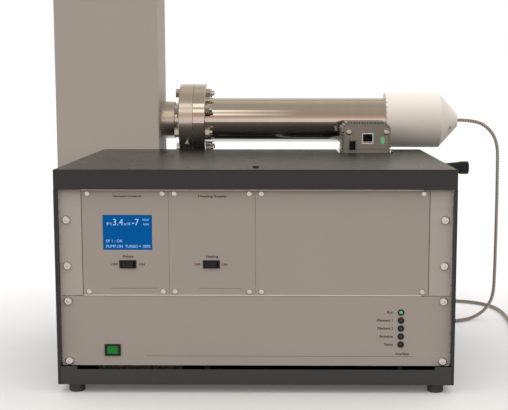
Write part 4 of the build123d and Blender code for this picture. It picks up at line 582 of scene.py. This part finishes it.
def tube_mesh(name, points, radii, sides, material):
    """Closed tube along a line, with a radius for each point; "crest" is 1 where it is thickest."""
    mesh = bpy.data.meshes.new(name)
    bm = bmesh.new()
    rings = tube_rings(bm, points, radii, sides)
    for a, b in zip(rings, rings[1:]):
        for s in range(sides):
            bm.faces.new((a[s], a[(s + 1) % sides], b[(s + 1) % sides], b[s]))
    bm.faces.new(reversed(rings[0]))
    bm.faces.new(rings[-1])
    for face in bm.faces:
        face.smooth = True
    bm.to_mesh(mesh)
    bm.free()
    crest = mesh.attributes.new("crest", "FLOAT", "POINT")
    for k, radius in enumerate(radii):
        for s in range(sides):
            crest.data[k * sides + s].value = (radius - min(radii)) / (max(radii) - min(radii))
    obj = link(bpy.data.objects.new(name, mesh))
    dress(obj, material)
    return obj


def armour_material():
    """Wound steel strip: crests in the steel's colour, grooves darkened with painted shade."""
    material, tree, shader = new_material("armour")
    shader.inputs["Metallic"].default_value = 1.0
    shader.inputs["Roughness"].default_value = 0.3
    crest = tree.nodes.new("ShaderNodeAttribute")
    crest.attribute_name = "crest"
    strip = mix_colours(tree, crest.outputs["Fac"], GROOVE_SHADE_COLOUR, CREST_COLOUR)
    feed(tree, shader.inputs["Base Color"], strip)
    return material


conduit_curve = spline_curve("inlet_line_route", ROUTE + coil_points(COIL_TURNS) + LAST_POINTS)
line, line_length = evenly(curve_line(conduit_curve), RIB_PITCH / 1000 / len(RIB_PROFILE))
radii = [CONDUIT_D / 2000 * RIB_PROFILE[k % len(RIB_PROFILE)] for k in range(len(line))]
inlet_line = tube_mesh("inlet_line", line, radii, TUBE_SIDES, armour_material())
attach(inlet_line, "chassis")
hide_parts("conduit", "conduit_coil")

# --------------------------------------------------------------- printing on panels
PANEL_FACE = 7.1
INK_T = 0.06                 # ink and display digits stand this far out, in millimetres
INK_BOLD = 0.1
LINE_H = 0.35


def text_mesh(name, words, size, align, width, bold):
    """One word or line lying flat, its width set in millimetres."""
    curve = bpy.data.curves.new(name, "FONT")
    curve.body = words
    curve.size = size / 1000
    curve.align_x = align
    curve.extrude = INK_T / 2000
    curve.resolution_u = 3
    curve.offset = bold / 1000
    holder = link(bpy.data.objects.new(name, curve))
    bpy.context.view_layer.update()
    mesh = bpy.data.meshes.new_from_object(holder.evaluated_get(bpy.context.evaluated_depsgraph_get()))
    bpy.data.objects.remove(holder)
    xs = [v.co.x for v in mesh.vertices]
    mesh.transform(Matrix.Diagonal((width / 1000 / (max(xs) - min(xs)), 1, 1, 1)))
    return mesh


def new_piece(name, bm, material):
    """A piece of the chassis from finished mesh code."""
    mesh = bpy.data.meshes.new(name)
    bm.to_mesh(mesh)
    bm.free()
    obj = link(bpy.data.objects.new(name, mesh))
    dress(obj, material)
    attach(obj, "chassis")
    return obj


def lettering(name, rows, face_y, material, bold=0.0):
    """Upright text on a face looking to the front: (words, x, z of the baseline, size, align, width)."""
    bm = bmesh.new()
    upright = Matrix.Rotation(math.pi / 2, 4, "X")
    for words, x, z, size, align, width in rows:
        mesh = text_mesh(name + "_text", words, size, align, width, bold)
        mesh.transform(Matrix.Translation(at(x, face_y - INK_T / 2, z)) @ upright)
        bm.from_mesh(mesh)
    return new_piece(name, bm, material)


def box_mesh(bm, low, high):
    """Adds a box between two corners given in case millimetres."""
    a, b = at(*low), at(*high)
    corners = [bm.verts.new((x, y, z)) for x in (a.x, b.x) for y in (a.y, b.y) for z in (a.z, b.z)]
    for face in ((0, 1, 3, 2), (4, 6, 7, 5), (0, 4, 5, 1), (2, 3, 7, 6), (0, 2, 6, 4), (1, 5, 7, 3)):
        bm.faces.new([corners[k] for k in face])


def boxes(name, pairs, material):
    bm = bmesh.new()
    for low, high in pairs:
        box_mesh(bm, low, high)
    bmesh.ops.recalc_face_normals(bm, faces=bm.faces)
    return new_piece(name, bm, material)


ink = surface("panel_ink", srgb(34, 30, 28), rough=0.6, vary=0.1, vary_scale=300, specular=0.2)

# baselines and letter sizes
TITLE_Z = 245.6
TITLE_SIZE = 3.6
TITLE_WIDTH = 35
SWITCH_NAME_Z = 170.6
NAME_SIZE = 4.2
ON_OFF_Z = 160.6
ON_OFF_SIZE = 3.8
OFF_WIDTH = 7.4
ON_WIDTH = 6.6
LAMP_NAME_SIZE = 4.4
LAMP_TOP = 102.1
LAMP_PITCH = 10.16
LAMP_NAMES_RIGHT = 170.9
BASELINE_DROP = 1.4          # from a lamp's middle down to its caption's baseline
# each lamp's name and its width, from the top
LAMP_NAMES = (
    ("Run", 7.5), ("Filament 1", 19.6), ("Filament 2", 19.6), ("Emission", 16.8), ("Status", 11.2),
)


def module_captions(title, title_x, switch, switch_x, switch_width, off_x, on_x):
    """A module's title, its switch's name and the switch's two positions."""
    return [
        (title, title_x, TITLE_Z, TITLE_SIZE, "CENTER", TITLE_WIDTH),
        (switch, switch_x, SWITCH_NAME_Z, NAME_SIZE, "CENTER", switch_width),
        ("OFF", off_x, ON_OFF_Z, ON_OFF_SIZE, "CENTER", OFF_WIDTH),
        ("ON", on_x, ON_OFF_Z, ON_OFF_SIZE, "CENTER", ON_WIDTH),
    ]


captions = lettering(
    "panel_captions",
    module_captions("Vacuum Control", -157.6, "Pumps", -157.2, 13, -174.3, -140.2)
    + module_captions("Heating Supply", -52.8, "Heating", -53.6, 15, -71.8, -37.8)
    + [("Interface", 190.5, 47.9, NAME_SIZE, "RIGHT", 16)]
    + [
        (words, LAMP_NAMES_RIGHT, LAMP_TOP - row * LAMP_PITCH - BASELINE_DROP, LAMP_NAME_SIZE, "RIGHT", width)
        for row, (words, width) in enumerate(LAMP_NAMES)
    ],
    PANEL_FACE, ink, INK_BOLD,
)

# left end, right end and height of each printed line
LINES = ((-179.7, -121.6, 131.8), (-69.7, -17.1, 131.8), (-136.2, 194.0, 45.8))
panel_lines = boxes(
    "panel_lines",
    [((x0, PANEL_FACE - INK_T, z), (x1, PANEL_FACE, z + LINE_H)) for x0, x1, z in LINES],
    ink,
)

# ------------------------------------------------- edges of the sub-rack's own rails, coloured light as a painted highlight
RAIL_LEFT = -213
RAIL_RIGHT = 205
RAIL_DEEP = 0.2              # behind the panels' face
# how far each edge stands out, its bottom and its top
RAILS = ((5.0, 254.2, 255.5), (0.6, 122.5, 123.7))
# the light colour is a painted highlight where the rail edges catch the light from above
rail_highlights = boxes(
    "rail_highlights",
    [
        ((RAIL_LEFT, PANEL_FACE - proud, low), (RAIL_RIGHT, PANEL_FACE + RAIL_DEEP, high))
        for proud, low, high in RAILS
    ],
    surface("rail_edge_highlight", srgb(226, 217, 209), rough=0.4, vary=0.02, vary_scale=60),
)

# painted shade: dark strips in the seams between the outer modules and the rack ears
GAP_LEFTS = (-214.0, 213.2)
GAP_WIDTH = 0.8
GAP_BOTTOM = 123.8
GAP_TOP = 254.0
GAP_DEEP = 0.1
panel_gap_shade = boxes(
    "panel_gap_shade",
    [
        ((x, PANEL_FACE - INK_T, GAP_BOTTOM), (x + GAP_WIDTH, PANEL_FACE + GAP_DEEP, GAP_TOP))
        for x in GAP_LEFTS
    ],
    surface("gap_shade", srgb(72, 64, 58), rough=0.6, vary=0.05, vary_scale=60, specular=0.1),
)

# ---------------------------------------------------------------- display's digits
LCD_X = -157.5
LCD_Z = 201.8
LCD_W = 60.5
LCD_H = 43.3
LCD_LEFT = LCD_X - LCD_W / 2
LCD_BOTTOM = LCD_Z - LCD_H / 2
display_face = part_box("display")[0][1] * 1000 - CASE_Y
# words, place from the glass's lower left corner, size and width
DISPLAY_WORDS = (
    ("P1", 4.4, 30.4, 5.2, 5.6),
    ("3.4", 11.8, 30.4, 11.6, 12.4),
    ("x10", 25.8, 30.4, 5.2, 7.8),
    ("-7", 35.6, 30.4, 11.6, 8.4),
    ("mbar", 48.4, 36.2, 4.4, 8.6),
    ("ion", 49.6, 30.6, 4.4, 6.6),
    ("SP 1 : OK", 3.4, 9.4, 4.8, 20.6),
    ("PUMP ON", 3.4, 2.6, 5.0, 20.4),
    ("TURBO = 100%", 27.0, 2.6, 5.0, 31.2),
)
display_digits = lettering(
    "display_digits",
    [
        (words, LCD_LEFT + x, LCD_BOTTOM + z, size, "LEFT", width)
        for words, x, z, size, width in DISPLAY_WORDS
    ],
    display_face,
    surface(
        "display_digits", srgb(178, 214, 248), rough=0.4, vary=0.03, vary_scale=200, specular=0.1,
        emission=0.2,
    ),
)

# --------------------------------------------------- frames of the drive's sockets
SOCKET_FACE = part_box("drive_sockets")[0][1] * 1000 - CASE_Y
# left, right, bottom and top, and the width of the rim
JACK = (150.0, 167.0, 292.9, 309.1)
JACK_RIM = 1.5
PLUG = (130.3, 141.9, 282.6, 298.2)
PLUG_RIM = 1.3
JACK_PLATE_TOP = 296.7
FRAME_PROUD = 0.2
JACK_PROUD = 0.3
PLUG_DEEP = 0.6


def frame_bars(sides, rim, y0, y1):
    """Four bars round a rectangle."""
    left, right, bottom, top = sides
    return [
        ((left, y0, bottom), (right, y1, bottom + rim)),
        ((left, y0, top - rim), (right, y1, top)),
        ((left, y0, bottom + rim), (left + rim, y1, top - rim)),
        ((right - rim, y0, bottom + rim), (right, y1, top - rim)),
    ]


jack_frame = boxes(
    "jack_frame",
    frame_bars(JACK, JACK_RIM, SOCKET_FACE - JACK_PROUD, SOCKET_FACE),
    surface("jack_frame", srgb(212, 210, 200), rough=0.35, vary=0.04, vary_scale=60),
)
jack_plate = boxes(
    "jack_plate",
    [
        (
            (JACK[0] + JACK_RIM, SOCKET_FACE - FRAME_PROUD, JACK[2] + JACK_RIM),
            (JACK[1] - JACK_RIM, SOCKET_FACE, JACK_PLATE_TOP),
        )
    ],
    surface("jack_plate", srgb(150, 138, 128), rough=0.4, vary=0.06, vary_scale=60),
)
plug_frame = boxes(
    "plug_frame",
    frame_bars(PLUG, PLUG_RIM, SOCKET_FACE - FRAME_PROUD, SOCKET_FACE + PLUG_DEEP),
    surface("plug_frame", srgb(104, 108, 108), rough=0.45, vary=0.05, vary_scale=60),
)
